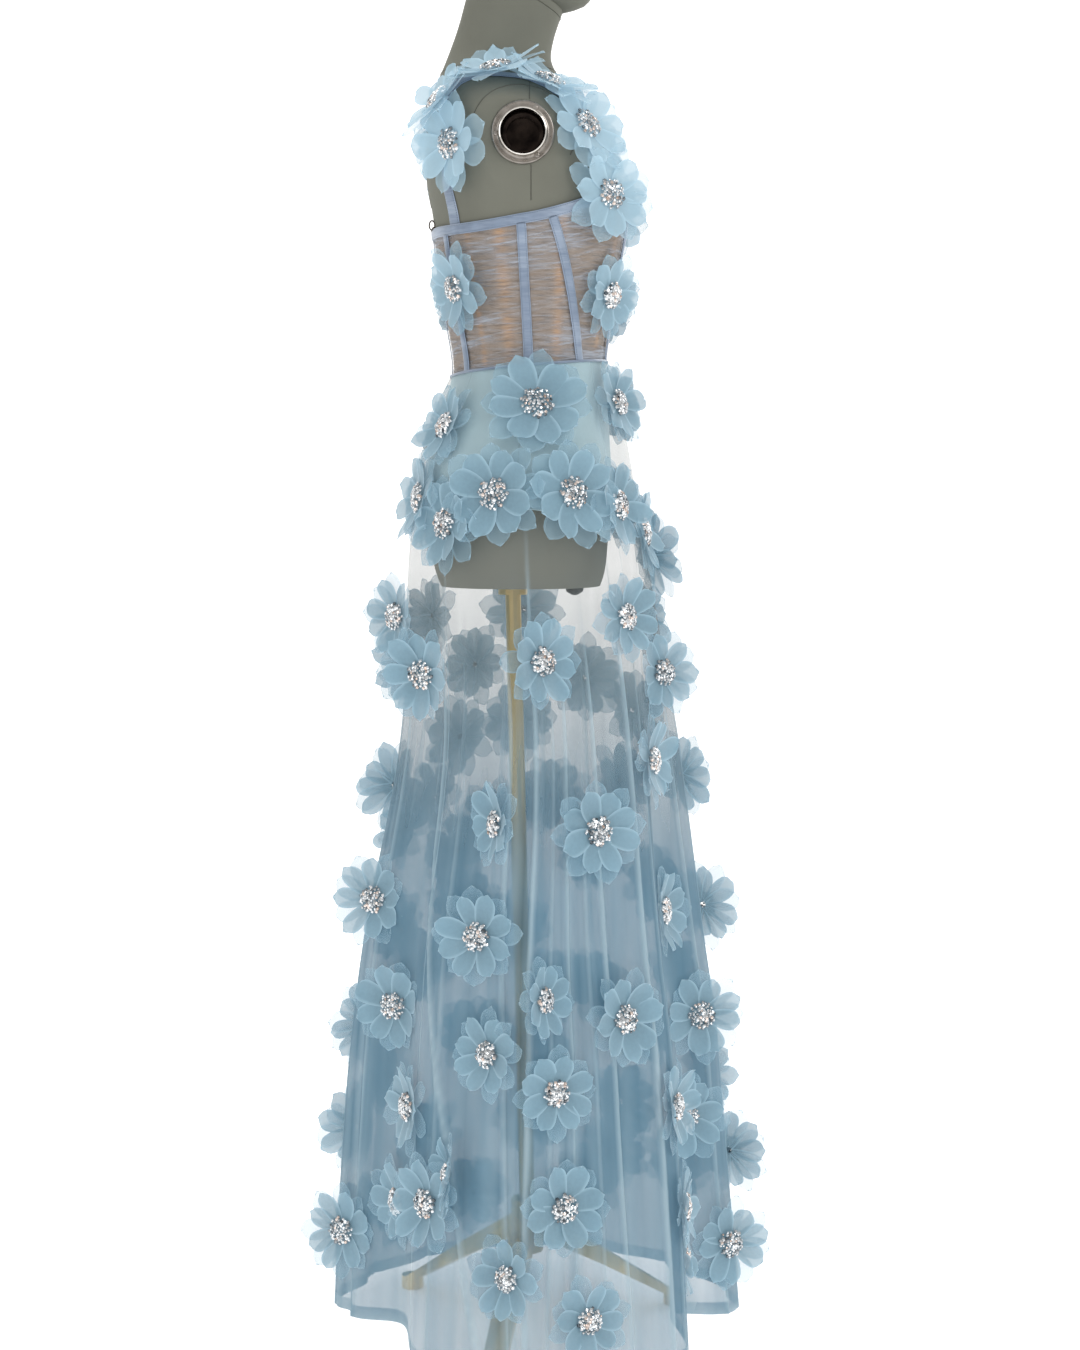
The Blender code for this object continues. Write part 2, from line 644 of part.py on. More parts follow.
def build_ribbons():
    """Top binding, boning channels over the seams, and the centre-back zip."""
    columns = 39
    first = 180 + centre_spread(ZIP_HALF + SEAM, BUST_EDGE)
    last = 540 - centre_spread(ZIP_HALF + SEAM, BUST_EDGE)
    grids = []
    for gap in (BINDING_OUT, SKIN):
        grid = []
        for drop in (RIBBON_WIDE, 0.0):
            grid.append([on_form(a, bust_line(a) - drop, gap)
                         for a in np.linspace(first, last, columns)])
        grids.append(grid)
    add_node("binding_top", closed_wall(*grids), "ribbon", smooth=True)
    for k, (name, low_azimuth, high_azimuth) in enumerate(bodice_seams()):
        side = "right" if k < len(BODICE_SEAMS) else "left"
        grids = []
        for gap in (BRIEF_OUT + CHANNEL_GAP + RIBBON, BRIEF_OUT + CHANNEL_GAP):
            grid = []
            for r in range(13):
                part = r / 12
                azimuth = low_azimuth + (high_azimuth - low_azimuth) * part
                spread = degrees(RIBBON_WIDE / 2 / form_point(azimuth, BUST_EDGE).xy.length)
                row = []
                for edge in (azimuth - spread, azimuth + spread):
                    low = waist_line(edge) + SEAM
                    high = bust_line(edge) - RIBBON_WIDE - 2 * SEAM
                    row.append(on_form(edge, low + (high - low) * part, gap))
                grid.append(row)
            grids.append(grid)
        add_node("channel_%s_%s" % (name, side), closed_wall(*grids), "ribbon")
    grids = []
    for gap in (BINDING_OUT - RIBBON, SKIN):
        grid = []
        for r in range(9):
            height = waist_line(180) + SEAM + (bust_line(180) - waist_line(180) - 2 * SEAM) * r / 8
            spread = centre_spread(ZIP_HALF, height)
            grid.append([on_form(180 + spread * k, height, gap) for k in (-1, 1)])
        grids.append(grid)
    add_node("zip_back", closed_wall(*grids), "ribbon")


def surface_tree(names):
    """Search tree over the named pieces as they stand."""
    verts, faces = [], []
    for name in names:
        mesh = bpy.data.objects[name].data
        first = len(verts)
        verts.extend(v.co.copy() for v in mesh.vertices)
        faces.extend(tuple(first + i for i in face.vertices) for face in mesh.polygons)
    return BVHTree.FromPolygons(verts, faces), verts


def strap_stations():
    """Ray starts and directions along the strap, from the back edge to the front."""
    stations = []
    for k in range(4):
        stations.append(("back", k / 4))
    for k in range(19):
        stations.append(("arc", 10.0 * k))
    for k in range(4):
        stations.append(("front", (k + 1) / 4))
    return stations


def azimuth_at(x, back):
    """Azimuth where the top edge lies this far from the middle plane, by halving."""
    near, far = (180.0, 90.0) if back else (0.0, 90.0)
    for _ in range(30):
        middle = (near + far) / 2
        if abs(form_point(middle, bust_line(middle)).x) < x:
            near = middle
        else:
            far = middle
    return near


def strap_hit(tree, x, kind, part):
    """Point of the form under the strap, and the direction it was seen from."""
    if kind == "arc":
        out = Vector((0, cos(radians(part)), sin(radians(part))))
        start = Vector((x, STRAP_AXIS_Y, STRAP_TURN)) + out * 0.5
    else:
        back = kind == "back"
        azimuth = azimuth_at(abs(x), back)
        edge = 2 * SEAM + max(on_form(azimuth, bust_line(azimuth), gap).z for gap in (SKIN, BINDING_OUT))
        height = edge + (STRAP_TURN - edge) * (part if back else 1 - part)
        out = Vector((0, 1 if back else -1, 0))
        start = Vector((x, out.y * 0.5, height))
    hit = tree.ray_cast(start, -out)[0]
    return hit, out


def taut_gaps(tree, stations):
    """Gap of each station to the form, such that no flat stretch between two cuts it.

    A station holds the two edge points on the form and the direction outward.
    """
    gaps = [STRAP_SKIN] * len(stations)
    for _ in range(8):
        for k in range(len(gaps) - 1):
            (near, far, out), (next_near, next_far, next_out) = stations[k], stations[k + 1]
            for along in (0.0, 0.25, 0.5, 0.75, 1.0):
                for across in (0.0, 0.2, 0.4, 0.6, 0.8, 1.0):
                    low = near.lerp(far, across) + out * gaps[k]
                    high = next_near.lerp(next_far, across) + next_out * gaps[k + 1]
                    away = out.lerp(next_out, along).normalized()
                    spot = low.lerp(high, along)
                    hit = tree.ray_cast(spot + away * 0.1, -away)[0]
                    short = STRAP_SKIN / 2 - (spot - hit).dot(away)
                    if short > 0:
                        gaps[k] += short * (1 - along)
                        gaps[k + 1] += short * along
    return gaps


def build_straps():
    """Ribbon straps from the back edge over the shoulders to the front edge."""
    tree, _ = surface_tree(["form_torso"])
    for side, sign in (("right", -1), ("left", 1)):
        stations = []
        for kind, part in strap_stations():
            near, out = strap_hit(tree, sign * STRAP_OUT - STRAP_HALF, kind, part)
            far, _ = strap_hit(tree, sign * STRAP_OUT + STRAP_HALF, kind, part)
            stations.append((near, far, out))
        gaps = taut_gaps(tree, stations)
        walls = []
        for thick in (RIBBON, 0.0):
            walls.append([[near + out * (gap + thick), far + out * (gap + thick)]
                          for (near, far, out), gap in zip(stations, gaps)])
        add_node("strap_" + side, closed_wall(*walls), "ribbon", smooth=True)


def flower_shape(radius):
    """Cupped disc with rounded petals round a dome, its face up, its back at the origin."""
    verts = [Vector((0, 0, 0))]
    outline = []
    for k in range(PETALS):
        middle = 360.0 * (k + 0.5) / PETALS
        outline.append((360.0 * k / PETALS, PETAL_NOTCH * radius, 0.35 * PETAL_CUP))
        outline.append((middle - PETAL_SHOULDER, radius, PETAL_CUP))
        outline.append((middle + PETAL_SHOULDER, radius, PETAL_CUP))
    for thick in (0.0, PETAL_THICK):
        for angle, reach, rise in outline:
            verts.append(Vector((reach * cos(radians(angle)), reach * sin(radians(angle)), rise + thick)))
    for k in range(PETALS):
        angle = radians(360.0 * k / PETALS)
        verts.append(Vector((DOME_RADIUS * cos(angle), DOME_RADIUS * sin(angle), 0.35 * DOME_HIGH)))
    verts.append(Vector((0, 0, DOME_HIGH)))
    count = len(outline)
    back, face, ring, crown = 1, 1 + count, 1 + 2 * count, 1 + 2 * count + PETALS
    faces = []
    for k in range(count):
        after = (k + 1) % count
        faces.append((0, back + after, back + k))
        faces.append((back + k, back + after, face + after, face + k))
    for k in range(PETALS):
        here, there = ring + k, ring + (k + 1) % PETALS
        notch, first, second, end = (face + (3 * k + step) % count for step in range(4))
        faces.extend([(here, notch, first), (here, first, second, there), (there, second, end),
                      (here, there, crown)])
    return verts, faces


def flower_frame(surface, first, second, turn, tree):
    """Spot on the cloth, and the direction that the flower faces."""
    if surface == "strap":
        spot, out = strap_hit(tree, second, "arc", first)
        out = (out + Vector((np.sign(second) * STRAP_LEAN, 0, 0))).normalized()
        return spot, out
    wall = skirt_mid if surface == "skirt" else form_point
    spread = [normal_at(wall, first + a, second + h) for a in (-9, 0, 9) for h in (-0.03, 0.0, 0.03)]
    out = sum(spread, Vector()).normalized()
    angle = radians(-turn)
    out = Vector((out.x * cos(angle) - out.y * sin(angle), out.x * sin(angle) + out.y * cos(angle), out.z))
    return wall(first, second), out


def seat_flower(shape, spot, out, spin, trees, points):
    """Turn a flower to face outward, then move it along that way until it just clears the cloth."""
    verts, faces = shape
    side = Vector((1, 0, 0)) if out.z > 0.7 else Vector((0, 0, 1)).cross(out)
    up = out.cross(side).normalized()
    side = up.cross(out)
    across = side * cos(spin) + up * sin(spin)
    along = up * cos(spin) - side * sin(spin)
    placed = [spot + across * v.x + along * v.y + out * v.z for v in verts]
    lift = -1.0
    outline = placed[1:1 + 3 * PETALS]
    samples = [placed[0]] + outline
    samples += [placed[0].lerp(v, part) for v in outline for part in (0.25, 0.5, 0.75)]
    samples += [a.lerp(b, 0.5) for a, b in zip(outline, outline[1:] + outline[:1])]
    for tree in trees:
        for sample in samples:
            hit = tree.ray_cast(sample + out * 0.05, -out, 0.12)[0]
            if hit is not None:
                lift = max(lift, (hit - sample).dot(out))
    flower_tree = BVHTree.FromPolygons(placed, faces)
    reach = max((v - spot).length for v in outline) + 0.005
    for point in points:
        if (point - spot).length < reach:
            hit = flower_tree.ray_cast(point - out * 0.1, out, 0.3)[0]
            if hit is not None:
                lift = max(lift, (point - hit).dot(out))
    placed = [v + out * (lift + FLOWER_GAP) for v in placed]
    for _ in range(40):
        flower_tree = BVHTree.FromPolygons(placed, faces)
        if not any(flower_tree.overlap(tree) for tree in trees):
            break
        placed = [v + out * FLOWER_GAP for v in placed]
    return placed, faces


def build_flowers():
    """All applied flowers, each seated on the cloth or on a neighbour's petals."""
    plain = [piece.name for piece in bpy.context.scene.objects
             if piece.type == "MESH" and not piece.hide_render]
    form_tree, _ = surface_tree(["form_torso"])
    cloth_tree, cloth_points = surface_tree(plain)
    rows = []
    for side, sign in (("right", 1), ("left", -1)):
        for name, surface, first, second, radius, turn, spin in SIDE_FLOWERS:
            if surface == "strap":
                second *= -sign
            elif sign < 0:
                first = 360.0 - first
            rows.append((name + "_" + side, surface, first, second, radius, sign * turn, sign * spin))
    for k, (azimuth, height, radius, turn) in enumerate(SKIRT_FLOWERS):
        rows.append(("flower_skirt_%02d" % (k + 1), "skirt", azimuth, height, radius, turn, 23.0 * k))
    groups, trees = {}, {}
    for k, (name, surface, first, second, radius, turn, spin) in enumerate(rows):
        spot, out = flower_frame(surface, first, second, turn, form_tree)
        others = [tree for other, tree in trees.items() if groups[other] != name]
        seated = seat_flower(flower_shape(radius), spot, out, radians(spin), [cloth_tree] + others,
                             cloth_points)
        piece = add_node(name if name not in groups.values() else "%s_helper_%02d" % (name, k),
                         seated, "petal", smooth=True)
        groups[piece.name] = name
        trees[piece.name] = surface_tree([piece.name])[0]
    for name in sorted(set(groups.values())):
        helpers = [bpy.data.objects[other] for other in groups if groups[other] == name and other != name]
        join_by_boolean(bpy.data.objects[name], helpers)


def stand_on_floor_centre():
    """Move the whole part so that its box rests on the origin by its bottom centre."""
    bpy.context.view_layer.update()
    corners = []
    for piece in bpy.context.scene.objects:
        if piece.type == "MESH":
            corners.extend(vertex.co for vertex in piece.data.vertices)
    points = np.array([tuple(c) for c in corners])
    low, high = points.min(axis=0), points.max(axis=0)
    bpy.data.objects["gown_on_form"].location = (-(low[0] + high[0]) / 2, -(low[1] + high[1]) / 2, -low[2])


def main():
    for piece in list(bpy.data.objects):
        bpy.data.objects.remove(piece, do_unlink=True)
    root = bpy.data.objects.new("gown_on_form", None)
    bpy.context.scene.collection.objects.link(root)
    build_form()
    build_sockets()
    build_stand()
    build_brief()
    build_skirt()
    build_bodice()
    build_ribbons()
    build_straps()
    build_flowers()
    stand_on_floor_centre()


main()
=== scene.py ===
"""Looks of a tulle gown with applied flowers, on its limbless dress form.

Metres, +Z up. The gown faces -Y and the wearer's right side is at -X.
An azimuth is counted in degrees round the body from the front: 0 is the front,
90 the wearer's right side, 180 the back and 270 the left side.
"""
from math import copysign, cos, pi, radians, sin, sqrt

import bpy
import numpy as np
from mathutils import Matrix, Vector
from mathutils.bvhtree import BVHTree


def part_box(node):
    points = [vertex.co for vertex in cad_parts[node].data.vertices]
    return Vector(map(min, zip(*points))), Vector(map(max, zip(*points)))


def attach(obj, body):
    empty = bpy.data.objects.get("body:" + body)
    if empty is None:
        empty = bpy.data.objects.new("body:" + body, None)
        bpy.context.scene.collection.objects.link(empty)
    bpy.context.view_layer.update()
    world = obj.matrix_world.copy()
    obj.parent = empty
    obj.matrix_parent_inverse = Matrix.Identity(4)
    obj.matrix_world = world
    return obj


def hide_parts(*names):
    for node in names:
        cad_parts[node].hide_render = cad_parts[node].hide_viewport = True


bl_info = {
    "name": "Tulle gown on dress form",
    "version": (1, 0, 0),
    "blender": (4, 5, 0),
    "location": "3D View > Sidebar > Gown",
    "description": "Builds the cloth, flowers, form and stand of a tulle gown round its solids",
    "category": "Object",
}

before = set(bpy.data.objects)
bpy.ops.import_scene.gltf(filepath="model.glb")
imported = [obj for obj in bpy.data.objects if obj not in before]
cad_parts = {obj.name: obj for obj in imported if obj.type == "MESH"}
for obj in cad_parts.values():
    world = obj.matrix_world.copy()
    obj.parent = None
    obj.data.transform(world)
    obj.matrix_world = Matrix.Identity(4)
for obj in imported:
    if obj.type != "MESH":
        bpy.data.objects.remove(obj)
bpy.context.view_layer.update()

# Sizes shared with the solids
SKIN = 0.0014
CLOTH = 0.0012
BRIEF_OUT = SKIN + CLOTH
SKIRT_GAP = 0.0008
RIBBON_WIDE = 0.012
WAIST = 1.253
WAIST_RISE = 0.010
BUST_EDGE = 1.447
BUST_EDGE_RISE = 0.028
BUST_EDGE_DIP = 0.010
LEG_FRONT = 1.034
LEG_RISE = 0.041
HEM = 0.012
HEM_LIFT = 0.25
HEM_DEEP = 0.016
HUG = 0.11

# Dress form: height, front, back, half width, tilt (rise towards the back)
FORM_SECTIONS = (
    (0.975, -0.078, 0.128, 0.158, 0.00),
    (0.990, -0.083, 0.134, 0.165, 0.00),
    (1.035, -0.088, 0.142, 0.173, 0.00),
    (1.100, -0.090, 0.146, 0.175, 0.00),
    (1.170, -0.087, 0.135, 0.158, 0.00),
    (1.253, -0.082, 0.110, 0.122, 0.00),
    (1.300, -0.087, 0.116, 0.126, 0.00),
    (1.350, -0.094, 0.125, 0.135, 0.00),
    (1.400, -0.099, 0.132, 0.143, 0.00),
    (1.445, -0.101, 0.137, 0.148, 0.00),
    (1.500, -0.094, 0.145, 0.156, 0.00),
    (1.550, -0.073, 0.145, 0.160, 0.00),
    (1.582, -0.054, 0.141, 0.146, 0.02),
    (1.604, -0.041, 0.135, 0.118, 0.05),
    (1.622, -0.031, 0.126, 0.084, 0.10),
    (1.640, -0.022, 0.117, 0.063, 0.18),
    (1.668, -0.014, 0.105, 0.054, 0.30),
    (1.700, -0.018, 0.094, 0.052, 0.45),
    (1.738, -0.029, 0.082, 0.050, 0.55),
)
FORM_SQUARE = 2.25
ARM_PLATE = 0.149
PLATE_TOP = 1.60
BUST_HEIGHT = 1.440
BUST_REACH = 0.011
BUST_APART = 0.072
BUST_SPREAD = 0.060
SOCKET_Y = 0.021
SOCKET_HEIGHT = 1.534

# The body's middle axis in the solids' frame, from the middle between the arm sockets
SOCKET_BOXES = [np.array(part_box("form_socket_" + side)) for side in ("right", "left")]
AXIS_PLACE = np.mean(SOCKET_BOXES, axis=(0, 1)) * (1, 1, 0) - (0, SOCKET_Y, 0)
PLACE = Vector(AXIS_PLACE)
SIDES = (("right", -1), ("left", 1))

# Plain head: height, front, back, half width, tilt
HEAD_SECTIONS = (
    (1.7384, -0.030, 0.083, 0.051, 0.55),
    (1.748, -0.058, 0.092, 0.061, 0.42),
    (1.774, -0.068, 0.104, 0.068, 0.28),
    (1.810, -0.074, 0.113, 0.074, 0.14),
    (1.850, -0.075, 0.118, 0.076, 0.05),
    (1.890, -0.067, 0.113, 0.072, 0.00),
    (1.920, -0.043, 0.092, 0.055, 0.00),
    (1.936, -0.012, 0.062, 0.027, 0.00),
)
HEAD_SQUARE = 2.1
CROWN = (0.0, 0.026, 1.9405)

# Skirt: height, front, back, half width of the hanging tulle without its folds
SKIRT_SECTIONS = (
    (0.000, -0.268, 0.279, 0.292),
    (0.050, -0.264, 0.277, 0.288),
    (0.300, -0.244, 0.259, 0.262),
    (0.400, -0.235, 0.249, 0.250),
    (0.510, -0.218, 0.235, 0.236),
    (0.790, -0.177, 0.183, 0.206),
    (0.930, -0.155, 0.176, 0.199),
    (1.050, -0.133, 0.166, 0.194),
    (1.130, -0.118, 0.156, 0.184),
    (1.200, -0.106, 0.141, 0.158),
    (1.270, -0.096, 0.125, 0.140),
)

# Inward folds of the skirt: azimuth, half width in degrees, depth at the hem, top
FOLDS = (
    (23.0, 15.0, 0.082, 1.00),
    (61.0, 5.0, 0.016, 0.90),
    (78.0, 4.0, 0.020, 0.92),
    (97.0, 4.0, 0.022, 1.02),
    (114.0, 5.0, 0.014, 0.85),
    (149.0, 21.0, 0.076, 1.00),
    (176.0, 5.0, 0.012, 0.80),
    (201.0, 7.0, 0.024, 0.95),
    (224.0, 9.0, 0.026, 0.98),
    (246.0, 6.0, 0.020, 0.88),
    (263.0, 4.5, 0.022, 1.00),
    (281.0, 5.0, 0.022, 0.92),
    (301.0, 8.0, 0.034, 0.98),
    (324.0, 9.0, 0.040, 1.00),
    (350.0, 5.0, 0.010, 0.80),
)
FOLD_GROWTH = 0.62

# Narrow outward creases of the tulle: azimuth at knee height, azimuth near the hem,
# half width in degrees, height, where the crease begins
CREASES = (
    (134.0, 112.0, 1.3, 0.0040, 0.98),
    (120.0, 121.0, 0.9, 0.0022, 0.80),
    (101.0, 98.5, 0.9, 0.0040, 0.98),
    (90.5, 92.0, 1.0, 0.0045, 1.08),
    (84.0, 86.0, 0.7, 0.0025, 0.90),
    (79.0, 78.0, 0.9, 0.0040, 0.97),
    (73.0, 71.0, 0.7, 0.0025, 0.80),
    (68.0, 64.0, 0.9, 0.0042, 0.98),
    (52.0, 51.0, 1.2, 0.0045, 1.02),
    (43.0, 44.0, 0.9, 0.0025, 0.95),
    (8.0, 6.0, 1.0, 0.0030, 0.95),
    (356.0, 357.0, 1.1, 0.0030, 0.90),
    (338.0, 340.0, 1.1, 0.0035, 0.95),
    (312.0, 313.0, 1.1, 0.0035, 0.95),
    (291.0, 290.0, 1.1, 0.0035, 0.92),
    (272.0, 273.0, 1.1, 0.0035, 0.98),
    (255.0, 254.0, 1.1, 0.0035, 0.92),
    (236.0, 235.0, 1.1, 0.0035, 0.95),
    (212.0, 213.0, 1.1, 0.0035, 0.95),
    (189.0, 187.0, 1.1, 0.0030, 0.92),
    (168.0, 170.0, 1.1, 0.0030, 0.92),
)
KNEE = 0.65
NEAR_HEM = 0.20
CREASE_FADE = 0.12
CREASE_FULL = 0.0045
GORE_COLUMNS = 241
GORE_ROWS = 84
HEM_ROWS = 5

GORE_SEAMS = (42.0, 132.0, 222.0, 312.0)
GORE_NAMES = ("right", "back", "left", "front")

# Bodice seams on the right side: name, azimuth at the waist, azimuth at the top
BODICE_SEAMS = (
    ("front", 15.0, 17.0),
    ("princess", 53.0, 77.0),
    ("side", 90.0, 92.0),
    ("back", 139.0, 145.0),
)
# Bodice panels: node, azimuths of the first edge and of the last at waist and top, columns
PANELS = (
    ("bodice_front", (-53.0, -77.0), (53.0, 77.0), 150),
    ("bodice_side_right", (53.0, 77.0), (139.0, 145.0), 96),
    ("bodice_back_right", (139.0, 145.0), (178.0, 178.0), 48),
    ("bodice_back_left", (182.0, 182.0), (221.0, 215.0), 48),
    ("bodice_side_left", (221.0, 215.0), (307.0, 283.0), 96),
)
GATHER_LINES = 44
GATHER_FULLNESS = 1.35
VEIL_ROWS = 150
LINING_ROWS = 50
# Tan streaks of boning under the lining: azimuth, half width in degrees
BONING_STREAKS = ((72.0, 3.2), (103.0, 3.6), (31.0, 3.0), (124.0, 2.4))

# Shoulder straps
STRAP_OUT = 0.106
STRAP_HALF = 0.008
STRAP_TURN = 1.50
STRAP_AXIS_Y = 0.030
STRAP_BACK = 1.424
STRAP_FRONT = 1.466
RAY_REACH = 0.5

# Flowers that stand on a solid, on the wearer's right side; the left side mirrors them.
# Columns: node, surface, azimuth or the strap's angle over the shoulder, height or
# distance from the middle, radius, turn, spin
SIDE_FLOWERS = (
    ("strap_flowers", "form", 130.0, 1.524, 0.056, 0.0, 0.0),
    ("strap_flowers", "strap", 40.0, 0.111, 0.052, 0.0, 0.0),
    ("strap_flowers", "strap", 78.0, 0.106, 0.056, 0.0, 0.0),
    ("strap_flowers", "strap", 112.0, 0.103, 0.057, 0.0, 0.0),
    ("strap_flowers", "form", 40.0, 1.546, 0.057, 14.0, 0.0),
    ("strap_flowers", "bodice", 42.0, 1.463, 0.055, 16.0, 4.0),
    ("hip_flowers", "skirt", 155.0, 1.088, 0.054, 0.0, 24.0),
    ("hip_flowers", "skirt", 131.0, 1.056, 0.055, 0.0, 30.0),
    ("hip_flowers", "skirt", 105.0, 1.092, 0.057, 0.0, 30.0),
    ("hip_flowers", "skirt", 67.0, 1.093, 0.058, 0.0, 30.0),
    ("hip_flowers", "skirt", 40.0, 1.078, 0.053, 0.0, 24.0),
    ("hip_flowers", "skirt", 17.0, 1.044, 0.051, 0.0, 18.0),
    ("flower_side_back", "bodice", 137.0, 1.350, 0.049, 0.0, 9.0),
    ("flower_side_front", "bodice", 32.0, 1.344, 0.047, 16.0, 41.0),
    ("flower_hip", "skirt", 84.0, 1.201, 0.061, 0.0, 16.0),
    ("flower_waist_back", "skirt", 139.0, 1.176, 0.047, 0.0, 35.0),
    ("flower_waist_front", "skirt", 23.0, 1.206, 0.048, 14.0, 52.0),
)

# Scattered flowers that stand on a solid: azimuth, height, radius, turn
SKIRT_FLOWERS = (
    (334.0, 0.930, 0.050, 0.0), (180.0, 0.934, 0.050, -40.0), (149.0, 0.866, 0.054, -34.0),
    (87.0, 0.889, 0.052, -36.0), (11.0, 0.863, 0.050, 26.0), (292.0, 0.840, 0.052, 0.0),
    (236.0, 0.760, 0.052, 0.0), (68.0, 0.680, 0.053, -8.0), (172.0, 0.567, 0.052, -36.0),
    (108.0, 0.552, 0.052, 16.0), (318.0, 0.560, 0.052, 0.0), (262.0, 0.480, 0.052, 0.0),
    (62.0, 0.448, 0.053, -10.0), (10.0, 0.418, 0.052, 38.0), (136.0, 0.325, 0.052, -9.0),
    (174.0, 0.131, 0.052, -36.0), (5.0, 0.112, 0.052, 34.0),
)

# Further scattered flowers, only in the looks: azimuth, height, radius, turn
FURTHER_FLOWERS = (
    (350.0, 1.010, 0.052, -24.0), (46.0, 0.940, 0.048, 8.0), (200.0, 0.866, 0.050, 30.0),
    (242.0, 0.860, 0.048, 0.0), (316.0, 0.800, 0.050, 0.0), (36.0, 0.758, 0.050, 12.0),
    (344.0, 0.720, 0.050, -20.0), (197.0, 0.705, 0.052, 34.0), (210.0, 0.640, 0.050, 0.0),
    (102.0, 0.690, 0.048, 42.0), (276.0, 0.672, 0.050, 0.0), (240.0, 0.600, 0.050, 0.0),
    (346.0, 0.544, 0.052, -34.0), (290.0, 0.590, 0.048, 0.0), (328.0, 0.440, 0.050, 0.0),
    (156.0, 0.439, 0.052, -26.0), (228.0, 0.440, 0.052, 0.0), (102.0, 0.412, 0.048, 18.0),
    (88.0, 0.479, 0.046, -48.0), (290.0, 0.400, 0.050, 0.0), (197.0, 0.383, 0.052, 34.0),
    (84.0, 0.366, 0.048, -34.0), (18.0, 0.292, 0.052, 40.0), (338.0, 0.310, 0.050, 0.0),
    (250.0, 0.330, 0.052, 0.0), (196.0, 0.242, 0.054, 34.0), (346.0, 0.209, 0.054, -34.0),
    (234.0, 0.190, 0.052, 0.0), (268.0, 0.200, 0.052, 0.0), (320.0, 0.160, 0.052, 0.0),
    (214.0, 0.300, 0.052, 0.0), (300.0, 0.240, 0.052, 0.0), (122.0, 0.221, 0.052, -11.0),
    (113.0, 0.262, 0.044, 55.0), (82.0, 0.227, 0.052, -24.0), (96.0, 0.142, 0.048, 22.0),
    (76.0, 0.091, 0.048, -16.0), (40.0, 0.200, 0.050, 0.0), (30.0, 0.120, 0.050, 0.0),
    (284.0, 0.100, 0.050, 0.0), (250.0, 0.095, 0.050, 0.0), (208.0, 0.110, 0.050, 0.0),
    (150.0, 0.190, 0.050, 0.0), (306.0, 0.700, 0.050, 0.0), (262.0, 0.780, 0.048, 0.0),
    (216.0, 0.930, 0.050, 0.0), (266.0, 0.935, 0.050, 0.0), (24.0, 0.560, 0.050, 0.0),
    (44.0, 0.330, 0.050, 0.0), (254.0, 0.640, 0.050, 0.0), (224.0, 0.680, 0.050, 0.0),
    (276.0, 0.400, 0.050, 0.0), (308.0, 0.350, 0.050, 0.0), (270.0, 0.300, 0.052, 0.0),
    (216.0, 0.500, 0.050, 0.0), (294.0, 0.160, 0.050, 0.0), (226.0, 0.090, 0.050, 0.0),
    (334.0, 0.210, 0.050, 0.0), (244.0, 0.520, 0.050, 0.0),
)


# Settings

COLOUR = {"subtype": "COLOR", "size": 3, "min": 0.0, "max": 1.0}


class GownSizes(bpy.types.PropertyGroup):
    petal_rise: bpy.props.FloatProperty(
        name="Petal rise", description="How far the tips of the front petals stand off the cloth",
        default=0.012, min=0.005, max=0.03, unit="LENGTH")
    stone_radius: bpy.props.FloatProperty(
        name="Stone radius", description="Mean radius of a crystal in a flower's middle",
        default=0.0024, min=0.001, max=0.004, unit="LENGTH")
    dome_radius: bpy.props.FloatProperty(
        name="Crystal dome", description="Radius of the cluster of crystals",
        default=0.0185, min=0.01, max=0.025, unit="LENGTH")
    gather_high: bpy.props.FloatProperty(
        name="Gather height", description="How far the bodice's gathers stand up",
        default=0.0011, min=0.0, max=0.003, unit="LENGTH")
    net_density: bpy.props.FloatProperty(
        name="Net density", description="How much of the view one layer of tulle covers",
        default=0.28, min=0.05, max=0.9, subtype="FACTOR")


class GownColours(bpy.types.PropertyGroup):
    petal: bpy.props.FloatVectorProperty(
        name="Petals", description="Sky blue of the organza petals",
        default=(0.148, 0.252, 0.318), **COLOUR)
    # Paler edge of each petal, and the paler colour painted as top light on petals high up
    petal_rim_and_top_light: bpy.props.FloatVectorProperty(
        name="Petal rims", description="Paler edge of each petal",
        default=(0.36, 0.51, 0.60), **COLOUR)
    net: bpy.props.FloatVectorProperty(
        name="Tulle", description="Grey blue of the skirt's net at the hips",
        default=(0.15, 0.172, 0.172), **COLOUR)
    net_low: bpy.props.FloatVectorProperty(
        name="Low tulle", description="Sky blue of the net near the hem",
        default=(0.075, 0.18, 0.262), **COLOUR)
    # Painted sheen: the lighter blue of the net where it is folded on itself, which the hem is mixed towards
    # too
    net_crease_sheen: bpy.props.FloatVectorProperty(
        name="Tulle creases", description="Lighter blue where the net is folded on itself",
        default=(0.33, 0.45, 0.52), **COLOUR)
    ribbon: bpy.props.FloatVectorProperty(
        name="Satin ribbon", description="Lavender blue of channels, binding and straps",
        default=(0.160, 0.212, 0.300), **COLOUR)
    brief: bpy.props.FloatVectorProperty(
        name="Brief", description="Pale blue of the opaque brief",
        default=(0.43, 0.60, 0.66), **COLOUR)
    linen: bpy.props.FloatVectorProperty(
        name="Linen", description="Grey green of the form's cover",
        default=(0.160, 0.163, 0.134), **COLOUR)
    brass: bpy.props.FloatVectorProperty(
        name="Aged brass", description="Metal of the stand",
        default=(0.80, 0.58, 0.22), **COLOUR)


# Shapes

AZIMUTH_STEP = 0.6
HEIGHT_STEP = 0.002
BODY_MIDDLE = 0.017


